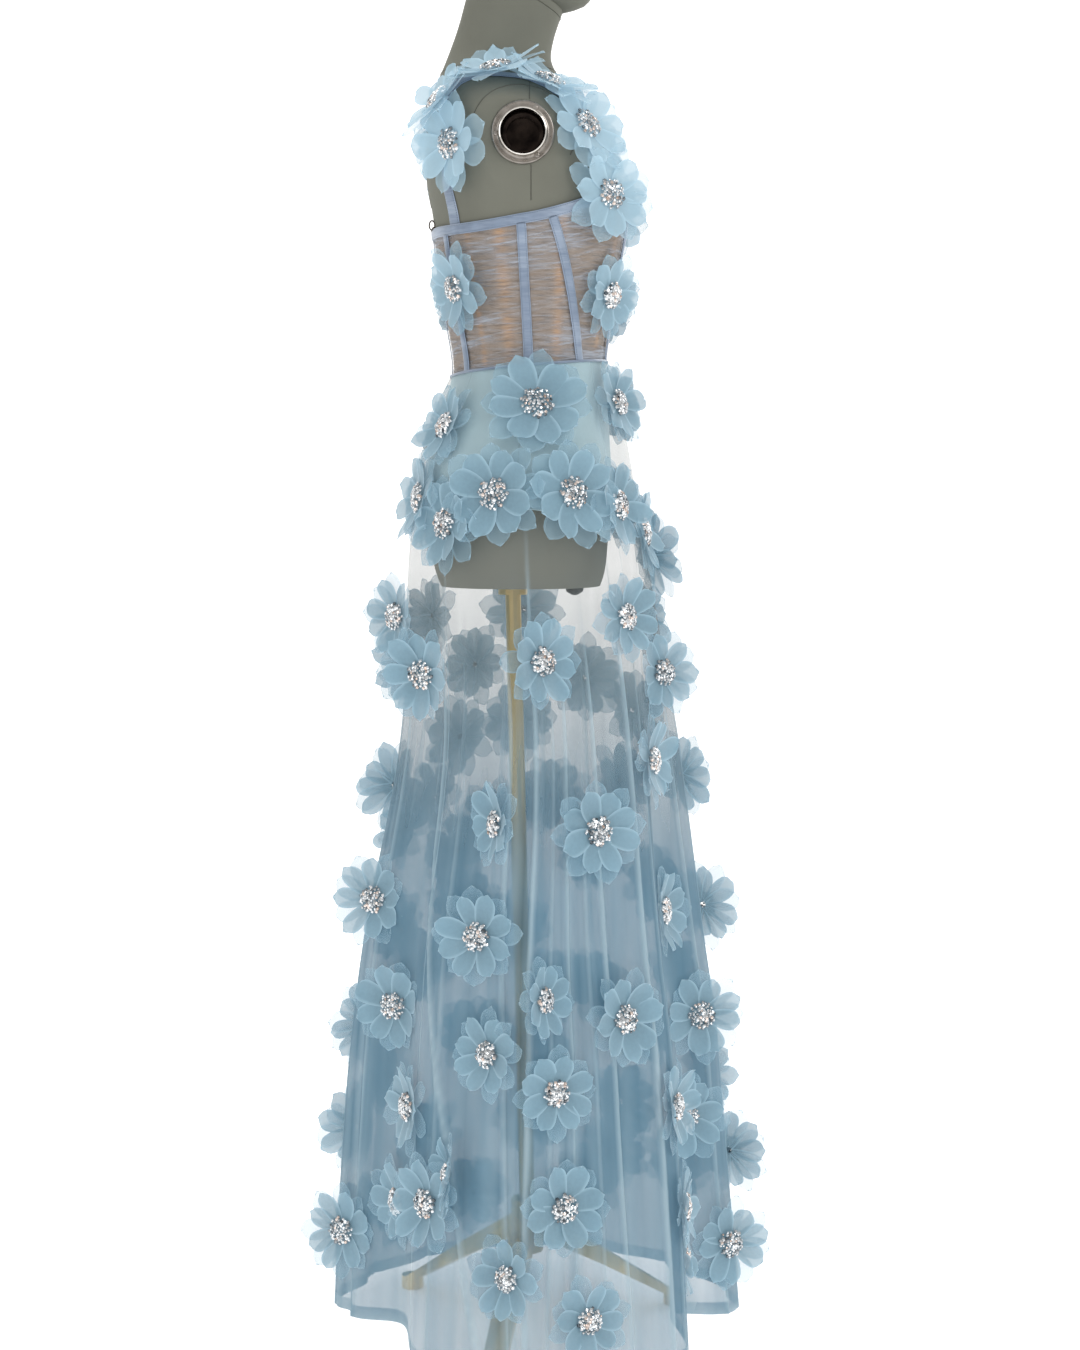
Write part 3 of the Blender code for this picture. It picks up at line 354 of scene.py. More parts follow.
def profile(table, height):
    """Smooth curve through a table whose first column is the height."""
    rows = np.array(table, dtype=float)
    heights = rows[:, 0]
    values = rows[:, 1:]
    slopes = np.diff(values, axis=0) / np.diff(heights)[:, None]
    tangents = np.vstack([slopes[:1], (slopes[1:] + slopes[:-1]) / 2, slopes[-1:]])
    tangents[1:-1][slopes[1:] * slopes[:-1] <= 0] = 0.0
    height = np.clip(height, heights[0], heights[-1])
    i = np.clip(np.searchsorted(heights, height, side="right") - 1, 0, len(heights) - 2)
    span = (heights[i + 1] - heights[i])[..., None]
    t = (height - heights[i])[..., None] / span
    curve = ((2 * t**3 - 3 * t**2 + 1) * values[i] + (t**3 - 2 * t**2 + t) * span * tangents[i]
             + (3 * t**2 - 2 * t**3) * values[i + 1] + (t**3 - t**2) * span * tangents[i + 1])
    return np.moveaxis(curve, -1, 0)


def section(front, back, half_width, azimuth, power):
    """Place on a rounded outline: an ellipse at power 2, squarer above it."""
    s = np.sin(np.radians(azimuth))
    c = np.cos(np.radians(azimuth))
    x = -half_width * np.sign(s) * np.abs(s) ** (2 / power)
    y = (front + back) / 2 - (back - front) / 2 * np.sign(c) * np.abs(c) ** (2 / power)
    return x, y


def paired(azimuth, height):
    """Azimuths and heights as arrays of one shape."""
    return np.broadcast_arrays(np.asarray(azimuth, float), np.asarray(height, float))


def form_points(azimuth, height):
    """Points of the dress form's torso and neck."""
    azimuth, height = paired(azimuth, height)
    front, back, half_width, tilt = profile(FORM_SECTIONS, height)
    x, y = section(front, back, half_width, azimuth, FORM_SQUARE)
    facing = np.maximum(np.cos(np.radians(azimuth)), 0.0)
    lobe = np.exp(-((np.abs(x) - BUST_APART) / BUST_SPREAD) ** 2
                  - ((height - BUST_HEIGHT) / BUST_SPREAD) ** 2)
    z = height + tilt * (y - (front + back) / 2)
    on_plate = (height > WAIST) & (height < PLATE_TOP)
    x = np.where(on_plate, np.clip(x, -ARM_PLATE, ARM_PLATE), x)
    return np.stack([x, y - BUST_REACH * lobe * np.minimum(1.0, 2 * facing), z], axis=-1)


def head_points(azimuth, height):
    """Points of the plain head."""
    azimuth, height = paired(azimuth, height)
    front, back, half_width, tilt = profile(HEAD_SECTIONS, height)
    x, y = section(front, back, half_width, azimuth, HEAD_SQUARE)
    return np.stack([x, y, height + tilt * (y - (front + back) / 2)], axis=-1)


def normals_of(surface, azimuth, height):
    """Outward normals of a surface given by azimuth and height."""
    azimuth, height = paired(azimuth, height)
    across = surface(azimuth - AZIMUTH_STEP, height) - surface(azimuth + AZIMUTH_STEP, height)
    up = surface(azimuth, height + HEIGHT_STEP) - surface(azimuth, height - HEIGHT_STEP)
    normal = np.cross(across, up)
    normal /= np.linalg.norm(normal, axis=-1, keepdims=True) + 1e-12
    away = surface(azimuth, height)[..., :2] - (0.0, BODY_MIDDLE)
    inward = (normal[..., :2] * away).sum(axis=-1, keepdims=True) < 0
    return np.where(inward, -normal, normal)


def off_surface(surface, azimuth, height, gap):
    """Points of a surface moved out by a gap, one for all or one for each point."""
    gap = np.asarray(gap, float)[..., None]
    return surface(azimuth, height) + normals_of(surface, azimuth, height) * gap


def waist_line(azimuth):
    """Height of the waist seam."""
    return WAIST + WAIST_RISE * np.cos(np.radians(azimuth))


def bust_line(azimuth):
    """Height of the bodice's top edge."""
    return (BUST_EDGE + BUST_EDGE_RISE * np.cos(np.radians(azimuth))
            + BUST_EDGE_DIP * np.cos(np.radians(2 * azimuth)))


def leg_line(azimuth):
    """Height of the brief's lower edge."""
    return LEG_FRONT + LEG_RISE * np.abs(np.sin(np.radians(azimuth))) ** 2.5


def turn_between(azimuth, other):
    """Turn from one azimuth to another, between -180 and 180."""
    return (azimuth - other + 180.0) % 360.0 - 180.0


def fold_depth(azimuth, height):
    """How far the skirt's folds pull the tulle in."""
    depth = np.zeros_like(height)
    for middle, half_width, deep, top in FOLDS:
        away = turn_between(azimuth, middle) / half_width
        reach = np.clip((top - height) / top, 0.0, None) ** FOLD_GROWTH
        depth += deep * reach * np.exp(-away * away)
    return depth


def crease_height(azimuth, height):
    """Narrow ridges of the tulle, and how much each place belongs to one."""
    lift = np.zeros_like(height)
    share = np.zeros_like(height)
    for at_knee, at_hem, half_width, high, top in CREASES:
        middle = at_knee + (at_hem - at_knee) * (KNEE - height) / (KNEE - NEAR_HEM)
        middle = np.where(height > KNEE, at_knee, middle)
        away = turn_between(azimuth, middle) / half_width
        fade = np.clip((top - height) / CREASE_FADE, 0.0, 1.0)
        ridge = fade * np.exp(-away * away)
        lift = lift + high * ridge
        share = np.maximum(share, ridge * high / CREASE_FULL)
    return lift, share


def hem_line(azimuth):
    """Height of the hem, higher in the folds."""
    azimuth = np.asarray(azimuth, float)
    return HEM + HEM_LIFT * fold_depth(azimuth, np.full_like(azimuth, HEM))


def skirt_points(azimuth, height):
    """Middle of the skirt's tulle: on the brief at the waist, then hanging free."""
    azimuth, height = paired(azimuth, height)
    front, back, half_width = profile(SKIRT_SECTIONS, height)
    x, y = section(front, back, half_width, azimuth, 2.0)
    hanging = np.stack([x, y, height], axis=-1)
    centre = np.stack([np.zeros_like(x), (front + back) / 2, height], axis=-1)
    inward = centre - hanging
    inward /= np.linalg.norm(inward, axis=-1, keepdims=True)
    hanging = hanging + inward * fold_depth(azimuth, height)[..., None]
    drop = np.clip((waist_line(azimuth) - height) / HUG, 0.0, 1.0)
    free = (1 - (1 - drop) ** 2)[..., None]
    hugging = off_surface(form_points, azimuth, height, BRIEF_OUT + SKIRT_GAP + CLOTH / 2)
    return hugging * (1 - free) + hanging * free


def grid_faces(rows, columns, wrap=False):
    """Quads over a grid of points, facing out when the columns run with rising azimuth."""
    r = np.arange(rows - 1)[:, None] * columns
    c = np.arange(columns if wrap else columns - 1)[None, :]
    d = (c + 1) % columns
    return np.stack([r + d, r + c, r + columns + c, r + columns + d], axis=-1).reshape(-1, 4)


def run_length(points):
    """Length of a run of points."""
    return float(np.linalg.norm(np.diff(points, axis=0), axis=1).sum())


def unit(ways):
    """The same ways, each of length 1."""
    return ways / np.linalg.norm(ways, axis=-1, keepdims=True)


# Pieces

# Smallest part of its width times length that a sheet's area may be
LEAST_SHARE = 0.31


def plain_faces(faces):
    """Faces as rows of Python numbers."""
    return faces.tolist() if isinstance(faces, np.ndarray) else faces


def joined(parts):
    """One set of points and faces from several, and of marks where the parts have them."""
    points, lists, *marks = zip(*parts)
    faces, first = [], 0
    for run, quads in zip(points, lists):
        faces.extend([tuple(i + first for i in face) for face in plain_faces(quads)])
        first += len(run)
    return (np.vstack(points), faces, *(np.vstack(rows) for rows in marks))


def make_piece(name, verts, faces, material, slot, node=None, smooth=True, sharp=None, marks=None, uvs=None):
    """Mesh object that rides on the frame, and stands for a node if one is named.

    Marks are one colour for each vertex. Edges over the sharp angle stay sharp.
    """
    mesh = bpy.data.meshes.new(name)
    verts = np.asarray(verts, float).reshape(-1, 3) + AXIS_PLACE
    mesh.from_pydata(verts.tolist(), [], plain_faces(faces))
    if marks is not None:
        layer = mesh.color_attributes.new(name="marks", type="FLOAT_COLOR", domain="POINT")
        colours = np.ones((len(verts), 4))
        colours[:, :3] = np.asarray(marks, float).reshape(-1, 3)
        layer.data.foreach_set("color", colours.ravel())
    if uvs is not None:
        layer = mesh.uv_layers.new(name="cloth")
        corners = np.zeros(len(mesh.loops), dtype=np.int32)
        mesh.loops.foreach_get("vertex_index", corners)
        layer.data.foreach_set("uv", np.asarray(uvs, float).reshape(-1, 2)[corners].ravel())
    if smooth:
        mesh.shade_smooth()
    if sharp:
        mesh.set_sharp_from_angle(angle=radians(sharp))
    mesh.materials.append(material)
    piece = bpy.data.objects.new(name, mesh)
    bpy.context.scene.collection.objects.link(piece)
    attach(piece, "root")
    if node:
        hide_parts(node)
    return piece


def make_cloth(name, grid, material, slot, held, rests_on, node=None, fullness=1.0, flip=False, **layers):
    """Piece over a grid of points; its width, length and flat area are worked out from its own points, but
    nothing uses them.

    Fullness is the cloth that gathers take up, as a share of the piece's length.
    """
    rows, columns = grid.shape[:2]
    faces = grid_faces(rows, columns)
    piece = make_piece(name, grid, faces[:, ::-1] if flip else faces, material, slot, node, **layers)
    width = max(run_length(grid[r]) for r in (0, rows // 2, rows - 1))
    length = max(run_length(grid[:, c]) for c in (0, columns // 2, columns - 1)) * fullness
    area = sum(face.area for face in piece.data.polygons) * fullness
    area = min(max(area, LEAST_SHARE * width * length), width * length)
    return piece


# Materials

class Finish:
    """A material with one main shader, and short calls that add nodes to it."""

    def __init__(self, name, **sockets):
        self.material = bpy.data.materials.new(name)
        self.material.use_nodes = True
        self.tree = self.material.node_tree
        self.shader = self.tree.nodes["Principled BSDF"]
        for socket, value in sockets.items():
            self.shader.inputs[socket.replace("_", " ").title()].default_value = value

    def node(self, kind, **settings):
        node = self.tree.nodes.new("ShaderNode" + kind)
        for name, value in settings.items():
            if hasattr(node, name):
                setattr(node, name, value)
            else:
                node.inputs[name.replace("_", " ").title()].default_value = value
        return node

    def link(self, source, target):
        self.tree.links.new(source, target)

    def math(self, operation, first, second=None):
        node = self.node("Math", operation=operation)
        for socket, value in zip(node.inputs, (first, second)):
            if value is None:
                continue
            if isinstance(value, (int, float)):
                socket.default_value = value
            else:
                self.link(value, socket)
        return node.outputs[0]

    def times(self, first, second):
        return self.math("MULTIPLY", first, second)

    def total(self, base, *parts):
        """A base and several sockets, each times its share."""
        for socket, share in parts:
            base = self.math("ADD", self.times(socket, share), base)
        return base

    def axes(self, coordinates="Object"):
        """X, Y and Z of a place as three sockets."""
        parts = self.node("SeparateXYZ")
        self.link(self.node("TexCoord").outputs[coordinates], parts.inputs["Vector"])
        return parts.outputs["X"], parts.outputs["Y"], parts.outputs["Z"]

    def marks(self):
        """Red, green and blue of the vertex marks as three sockets."""
        source = self.node("Attribute", attribute_name="marks")
        parts = self.node("SeparateColor")
        self.link(source.outputs["Color"], parts.inputs["Color"])
        return parts.outputs["Red"], parts.outputs["Green"], parts.outputs["Blue"]

    def mix(self, factor, first, second):
        node = self.node("Mix", data_type="RGBA")
        for socket, value in ((node.inputs[0], factor), (node.inputs[6], first), (node.inputs[7], second)):
            if isinstance(value, bpy.types.NodeSocket):
                self.link(value, socket)
            elif isinstance(value, (int, float)):
                socket.default_value = value
            else:
                socket.default_value = (*value, 1.0)[:4]
        return node.outputs[2]

    def tones(self, factor, colour, dark, light):
        """Between a darker and a lighter shade of one colour."""
        return self.mix(factor, shade(colour, dark), shade(colour, light))

    def noise(self, scale, detail=3.0, stretch=(1, 1, 1)):
        shape = self.node("Mapping")
        shape.inputs["Scale"].default_value = stretch
        self.link(self.node("TexCoord").outputs["Object"], shape.inputs["Vector"])
        noise = self.node("TexNoise", scale=scale, detail=detail)
        self.link(shape.outputs["Vector"], noise.inputs["Vector"])
        return noise.outputs[0]

    def blotches(self, scale, detail, stretch=(1, 1, 1), low=0.0, high=1.0):
        """Noise whose middle part is spread from low to high."""
        return self.remap(self.noise(scale, detail, stretch), 0.3, 0.7, low, high)

    def wave(self, scale, direction, distortion=0.5):
        wave = self.node("TexWave", bands_direction=direction, scale=scale, distortion=distortion,
                         detail_scale=2.0)
        self.link(self.node("TexCoord").outputs["Object"], wave.inputs["Vector"])
        return wave.outputs["Fac"]

    def remap(self, value, low, high, to_low=0.0, to_high=1.0):
        node = self.node("MapRange")
        self.link(value, node.inputs["Value"])
        for label, number in (("From Min", low), ("From Max", high), ("To Min", to_low), ("To Max", to_high)):
            node.inputs[label].default_value = number
        return node.outputs["Result"]

    def bump(self, height, strength, distance=0.001):
        node = self.node("Bump")
        node.inputs["Strength"].default_value = strength
        node.inputs["Distance"].default_value = distance
        self.link(height, node.inputs["Height"])
        self.link(node.outputs["Normal"], self.shader.inputs["Normal"])

    def colour(self, source):
        self.link(source, self.shader.inputs["Base Color"])

    def alpha(self, source):
        self.link(source, self.shader.inputs["Alpha"])


def shade(colour, amount):
    """A colour made darker or lighter."""
    return tuple(min(1.0, part * amount) for part in colour)


def linen_finish(colours):
    """Woven cover with slubs. The waves run across each other as warp and weft."""
    finish = Finish("linen_cover", roughness=0.88)
    weave = finish.times(finish.wave(420.0, "Y", 1.2), finish.wave(420.0, "Z", 1.2))
    tone = finish.tones(finish.remap(finish.noise(14.0, 6.0), 0.35, 0.70), colours.linen, 0.94, 1.06)
    finish.colour(finish.mix(finish.remap(weave, 0.0, 0.6, 0.0, 0.22), tone, shade(colours.linen, 0.74)))
    finish.bump(weave, 0.22, 0.0004)
    return finish.material


def metal_finish(name, dark, light, rough):
    """Turned metal with faint smears."""
    finish = Finish(name, metallic=1.0)
    smear = finish.blotches(60.0, 4.0)
    finish.link(finish.remap(smear, 0.0, 1.0, rough * 0.7, rough * 1.4), finish.shader.inputs["Roughness"])
    finish.colour(finish.mix(smear, dark, light))
    return finish.material


def flecked_finish(name, scale, dark, light, **sockets):
    """Two close tones in flecks."""
    finish = Finish(name, **sockets)
    finish.colour(finish.mix(finish.noise(scale), dark, light))
    return finish.material


def brass_finish(colours):
    """Aged metal, smoother where it is brighter."""
    finish = Finish("aged_brass", metallic=1.0)
    wear = finish.blotches(24.0, 5.0, (1, 1, 0.2))
    finish.colour(finish.tones(wear, colours.brass, 0.6, 1.15))
    finish.link(finish.remap(wear, 0.0, 1.0, 0.42, 0.24), finish.shader.inputs["Roughness"])
    return finish.material


def net_finish(colours, density):
    """Sheer tulle, bluer and closer towards the hem. Marks: crease, hem and fold share."""
    finish = Finish("skirt_tulle", roughness=0.70)
    crease, hem, fold = finish.marks()
    low = finish.remap(finish.axes()[2], 1.00, 0.60)
    whole = finish.math("MAXIMUM", crease, finish.times(fold, 0.5))
    # Painted sheen: creases, folds and the hem are mixed towards a lighter blue; the cover added to them is
    # the net's real density
    pale = finish.math("MAXIMUM", finish.times(whole, 0.85), finish.times(hem, 0.6))
    finish.colour(finish.mix(pale, finish.mix(low, colours.net, colours.net_low), colours.net_crease_sheen))
    cover = finish.total(density, (low, 0.40), (whole, 0.24), (hem, 0.06))
    cover = finish.times(cover, finish.blotches(7.0, 2.0, (5, 5, 0.3), 0.92, 1.08))
    finish.alpha(finish.math("MINIMUM", cover, 0.90))
    return finish.material


def veil_threads(finish):
    """Fine gathered threads that run round the body, and broader sweeps of doubled net."""
    fine = finish.remap(finish.noise(46.0, 6.0, (1.0, 1.0, 11.0)), 0.38, 0.68)
    sweep = finish.remap(finish.noise(11.0, 3.0, (0.9, 0.9, 4.5)), 0.48, 0.66)
    return fine, sweep


def ruched_finish():
    """Gathered veil over the bodice. Marks: ridge share, edge share."""
    finish = Finish("ruched_tulle", roughness=0.62)
    ridge, edge, _ = finish.marks()
    fine, sweep = veil_threads(finish)
    veil = finish.math("MINIMUM", finish.total(0.0, (ridge, 0.40), (fine, 0.35), (sweep, 0.40)), 1.0)
    finish.colour(finish.mix(veil, (0.24, 0.22, 0.205), (0.47, 0.54, 0.65)))
    finish.alpha(finish.math("MINIMUM", finish.total(0.16, (veil, 0.46), (edge, 0.30)), 0.95))
    finish.bump(fine, 0.4, 0.0006)
    return finish.material


def lining_finish():
    """Nude mesh under the ruching. Marks: share of the tan boning streaks."""
    finish = Finish("nude_lining", roughness=0.75)
    mottled = finish.noise(30.0, 4.0, (1, 1, 3))
    shadow = finish.remap(finish.noise(40.0, 5.0, (1, 1, 10)), 0.50, 0.62)
    base = finish.mix(finish.remap(mottled, 0.35, 0.7), (0.29, 0.225, 0.175), (0.37, 0.295, 0.235))
    base = finish.mix(finish.times(finish.marks()[0], 0.85), base, (0.62, 0.36, 0.18))
    finish.colour(finish.mix(finish.times(shadow, 0.55), base, (0.13, 0.10, 0.08)))
    finish.bump(mottled, 0.2, 0.0005)
    return finish.material


def satin_finish(colours):
    """Satin ribbon with a stitched line near both edges. The UV runs across and along it."""
    finish = Finish("satin_ribbon", roughness=0.42, sheen_weight=0.3)
    across, along, _ = finish.axes("UV")
    from_middle = finish.math("ABSOLUTE", finish.math("SUBTRACT", across, 0.5))
    line = finish.math("COMPARE", from_middle, 0.38)
    line.node.inputs[2].default_value = 0.035
    dashes = finish.math("GREATER_THAN", finish.math("FRACT", finish.times(along, 330.0)), 0.35)
    stitch = finish.times(line, dashes)
    tone = finish.tones(finish.blotches(50.0, 3.0, (1, 1, 0.4)), colours.ribbon, 0.88, 1.12)
    tone = finish.mix(finish.remap(from_middle, 0.40, 0.5), tone, shade(colours.ribbon, 1.35))
    fine, sweep = veil_threads(finish)
    tone = finish.mix(finish.total(0.0, (fine, 0.22), (sweep, 0.28)), tone, (0.42, 0.49, 0.60))
    finish.colour(finish.mix(stitch, tone, shade(colours.ribbon, 0.72)))
    finish.bump(finish.math("SUBTRACT", 1.0, stitch), 0.4, 0.0004)
    return finish.material


def brief_finish(colours):
    """Opaque stretch cloth with a fine diagonal weave."""
    finish = Finish("brief_cloth", roughness=0.66, sheen_weight=0.25)
    finish.colour(finish.tones(finish.blotches(16.0, 4.0, (1, 1, 0.6)), colours.brief, 0.90, 1.08))
    finish.bump(finish.wave(650.0, "DIAGONAL"), 0.2, 0.0003)
    return finish.material


def petal_finish(colours):
    """Crisp sheer organza with a painted glow that stands in for light through the petals, and painted light
    that makes it paler high up. Marks: rim share, cover, tone.
    """
    finish = Finish("petal_organza", roughness=0.60, sheen_weight=0.2, emission_strength=0.48)
    rim, cover, tone = finish.marks()
    # Painted light: petals high up are mixed towards the paler rim colour, as if lit more from above
    high = finish.remap(finish.axes()[2], 1.25, 1.50, 0.0, 0.55)
    weave = finish.blotches(240.0, 1.0, low=0.0, high=0.10)
    body = finish.mix(weave, finish.tones(tone, colours.petal, 0.64, 1.30), shade(colours.petal, 1.5))
    body = finish.mix(rim, finish.mix(high, body, colours.petal_rim_and_top_light), colours.petal_rim_and_top_light)
    finish.colour(body)
    # Painted light: the petals glow in their own colour in place of light shining through the organza
    finish.link(body, finish.shader.inputs["Emission Color"])
    finish.alpha(cover)
    return finish.material


def crystal_finish():
    """Faceted stones. Marks: each stone's tone, partly its own grey and partly painted glints and dark
    reflections, and whether it is a warm one.
    """
    finish = Finish("crystal_stones", metallic=0.85, roughness=0.10)
    tone, warm, _ = finish.marks()
    grey_and_glint = finish.mix(tone, (0.035, 0.05, 0.065), (0.86, 0.88, 0.90))
    finish.colour(finish.mix(finish.times(warm, 0.5), grey_and_glint, (0.85, 0.62, 0.50)))
    return finish.material


# Form and stand

def tube_along(points, radius, sides=6):
    """Round tube along a run of points."""
    points = np.asarray(points, float)
    along = unit(np.gradient(points, axis=0))
    guide = np.where(np.abs(along[:, 2:3]) > 0.9, (1.0, 0.0, 0.0), (0.0, 0.0, 1.0))
    side = unit(np.cross(along, guide))
    up = np.cross(side, along)
    angles = np.linspace(0, 2 * pi, sides, endpoint=False)[:, None]
    ring = np.cos(angles) * side[:, None, :] + np.sin(angles) * up[:, None, :]
    return (points[:, None, :] + radius * ring).reshape(-1, 3), grid_faces(len(points), sides, wrap=True)


def turned(outline, centre, axis, sides, sign=1):
    """Surface of revolution from rows of radius and distance along the axis."""
    angles = np.linspace(0, 2 * pi, sides, endpoint=False)
    radius, away = np.array(outline, float).T[..., None]
    around = [radius * np.cos(angles), radius * np.sin(angles)]
    along = [sign * away + 0 * angles]
    ring = np.stack(around + along if axis == "Z" else along + around, axis=-1)
    return (ring + np.array(centre)).reshape(-1, 3), grid_faces(len(outline), sides, wrap=True)


def azimuth_at(height, y):
    """Azimuth of the form's place at a height and a distance to the back, on the right side."""
    turns = np.linspace(1.0, 179.0, 179)
    return np.array([np.interp(wanted, form_points(turns, h)[..., 1], turns)
                     for h, wanted in zip(height, y)])


def form_seam_lines():
    """Azimuths and heights along each seam of the form's cover."""
    part = np.linspace(0, 1, 60)
    lines = [
        # front, back, neck and the joint of the head
        (0 * part, 1.49 + 0.13 * part),
        (180 + 0 * part, 1.46 + 0.17 * part),
        (360 * part, 1.632 + 0.012 * np.cos(2 * pi * part)),
        (360 * part, 1.728 + 0 * part),
    ]
    arch = np.radians(205 - 230 * part)
    routes = (
        # distance to the back, height: side seam, shoulder seam, back seam, armhole
        (SOCKET_Y - 0.010 + 0 * part, 1.452 + 0.043 * part),
        (SOCKET_Y - 0.008 + 0 * part, 1.575 + 0.026 * part),
        (SOCKET_Y + 0.084 + 0.006 * part, 1.440 + 0.075 * part),
        (SOCKET_Y - 0.064 * np.cos(arch), SOCKET_HEIGHT + 0.062 * np.sin(arch)),
    )
    right = [(azimuth_at(height, y), height) for y, height in routes]
    return lines + right + [(360.0 - azimuth, height) for azimuth, height in right]


SOCKET_HOLE = 0.0275
KNOB_PLACE = (0.0, -0.045, 0.975)

# Outlines of turned parts: radius, distance along the axis
KNOB = ((0.010, 0.0), (0.012, -0.003), (0.011, -0.008), (0.005, -0.012), (0.001, -0.013))
SOCKET_FLANGE = ((0.0385, 0.0005), (0.0388, 0.0022), (0.0380, 0.0034), (0.0362, 0.0040),
                 (0.0350, 0.0030), (0.0312, 0.0030), (0.0302, 0.0040))
SOCKET_RING = ((0.0302, 0.0040), (0.0300, 0.0120), (0.0292, 0.0142), (0.0280, 0.0148),
               (0.0270, 0.0140), (0.0264, 0.0120))
SOCKET_BORE = ((0.0264, 0.0120), (0.0262, 0.0040), (0.0250, 0.0020), (0.0248, -0.0120),
               (0.0205, -0.0130), (0.0200, -0.0250), (0.0120, -0.0262), (0.0002, -0.0262))
SCREW = ((0.0032, 0.0028), (0.0032, 0.0044), (0.0024, 0.0050), (0.0001, 0.0048))
SCREW_ANGLES = (118.0, 238.0, 358.0)
SCREW_RING = 0.0332


def build_form(colours):
    """Linen torso, open behind the arm sockets, with the head, the seams and a bolt."""
    linen = linen_finish(colours)
    azimuths = np.arange(0.0, 360.0, 2.0)
    count = len(azimuths)
    underside = [tuple(range(count))]
    heights = np.concatenate([np.linspace(0.975, 1.48, 60), np.linspace(1.484, 1.60, 30),
                              np.linspace(1.605, 1.738, 30)])
    points = form_points(azimuths, heights[:, None]).reshape(-1, 3)
    faces = grid_faces(len(heights), count, wrap=True)
    off_axis = np.hypot(points[:, 1] - SOCKET_Y, points[:, 2] - SOCKET_HEIGHT)
    in_bore = (off_axis < SOCKET_HOLE) & (np.abs(points[:, 0]) > 0.1)
    faces = faces[~in_bore[faces].any(axis=1)].tolist()
    make_piece("torso_linen", points, faces + underside, linen, "form_linen", "form_torso", sharp=40)
    heights = np.concatenate([np.linspace(1.7384, 1.90, 36), np.linspace(1.904, 1.936, 12)])
    points = np.vstack([head_points(azimuths, heights[:, None]).reshape(-1, 3), [CROWN]])
    last = (len(heights) - 1) * count
    faces = grid_faces(len(heights), count, wrap=True).tolist()
    faces += [(last + (c + 1) % count, last + c, len(points) - 1) for c in range(count)]
    make_piece("head_linen", points, faces + underside, linen, "form_linen", "form_head", sharp=50)
    seams = [tube_along(off_surface(form_points, azimuth, height, 0.0001), 0.0006)
             for azimuth, height in form_seam_lines()]
    thread = flecked_finish("linen_seam", 200.0, shade(colours.linen, 0.42), shade(colours.linen, 0.66),
                            roughness=0.9)
    make_piece("form_seams", *joined(seams), thread, "form_linen")
    dark = flecked_finish("dark_bore", 40.0, (0.006, 0.005, 0.005), (0.030, 0.024, 0.021),
                          metallic=0.2, roughness=0.34)
    make_piece("form_bolt", *turned(KNOB, KNOB_PLACE, "Z", 20), dark, "form_linen")


def build_sockets():
    """Metal cups with a screwed flange, a bright ring and a deep stepped bore."""
    flange = metal_finish("socket_flange", (0.20, 0.18, 0.16), (0.38, 0.35, 0.32), 0.28)
    bright = metal_finish("socket_chrome", (0.58, 0.55, 0.51), (0.78, 0.75, 0.71), 0.12)
    # Painted shade: the bore's metal is coloured near-black, the shade deep inside the hole
    inside = metal_finish("socket_bore", (0.005, 0.004, 0.004), (0.030, 0.022, 0.018), 0.22)
    for side, sign in SIDES:
        centre = np.array((sign * ARM_PLATE, SOCKET_Y, SOCKET_HEIGHT))
        parts = [turned(SOCKET_FLANGE, centre, "X", 72, sign)]
        for angle in np.radians(SCREW_ANGLES):
            spot = centre + (0.0, SCREW_RING * cos(angle), SCREW_RING * sin(angle))
            parts.append(turned(SCREW, spot, "X", 16, sign))
        make_piece("socket_flange_" + side, *joined(parts), flange, "socket_chrome", "form_socket_" + side)
        for name, outline, metal in (("ring", SOCKET_RING, bright), ("bore", SOCKET_BORE, inside)):
            make_piece("socket_%s_%s" % (name, side), *turned(outline, centre, "X", 72, sign), metal,
                       "socket_chrome", sharp=35)


def build_stand(colours):
    """Aged brass on the pole and the tripod, which are shown as the solids."""
    brass = brass_finish(colours)
    for name in ("stand_pole", "stand_base"):
        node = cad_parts[name]
        node.data.materials.clear()
        node.data.materials.append(brass)


# Cloth

def build_brief(colours):
    """Stretch cloth from the waist to the leg line, front and back, with a rolled lower edge."""
    cloth = brief_finish(colours)
    for name, first in (("brief_front", -90.0), ("brief_back", 90.0)):
        azimuths = np.linspace(first + 0.05, first + 179.95, 91)
        parts = np.linspace(0, 1, 60)[:, None]
        low = leg_line(azimuths)
        heights = low + (waist_line(azimuths) - low) * parts
        drag = 0.0007 * np.sin(np.radians(azimuths * 9)) * np.clip(parts * 5 - 3.6, 0, 1)
        grid = off_surface(form_points, azimuths, heights, BRIEF_OUT + drag)
        make_cloth(name + "_cloth", grid, cloth, "brief_satin", "stretched", ["form_torso"], name)
        edge = off_surface(form_points, azimuths, low, BRIEF_OUT)
        make_piece(name + "_edge", *tube_along(edge, 0.0012, 8), cloth, "brief_satin")


def tulle_grid(azimuths, heights, at_seams, waves=0.0, out=0.0):
    """Points of a gore's tulle, which has no creases at its seams, and each one's share of a crease."""
    lift, crease = crease_height(azimuths, heights)
    return off_surface(skirt_points, azimuths, heights, (lift + waves) * at_seams + out), crease


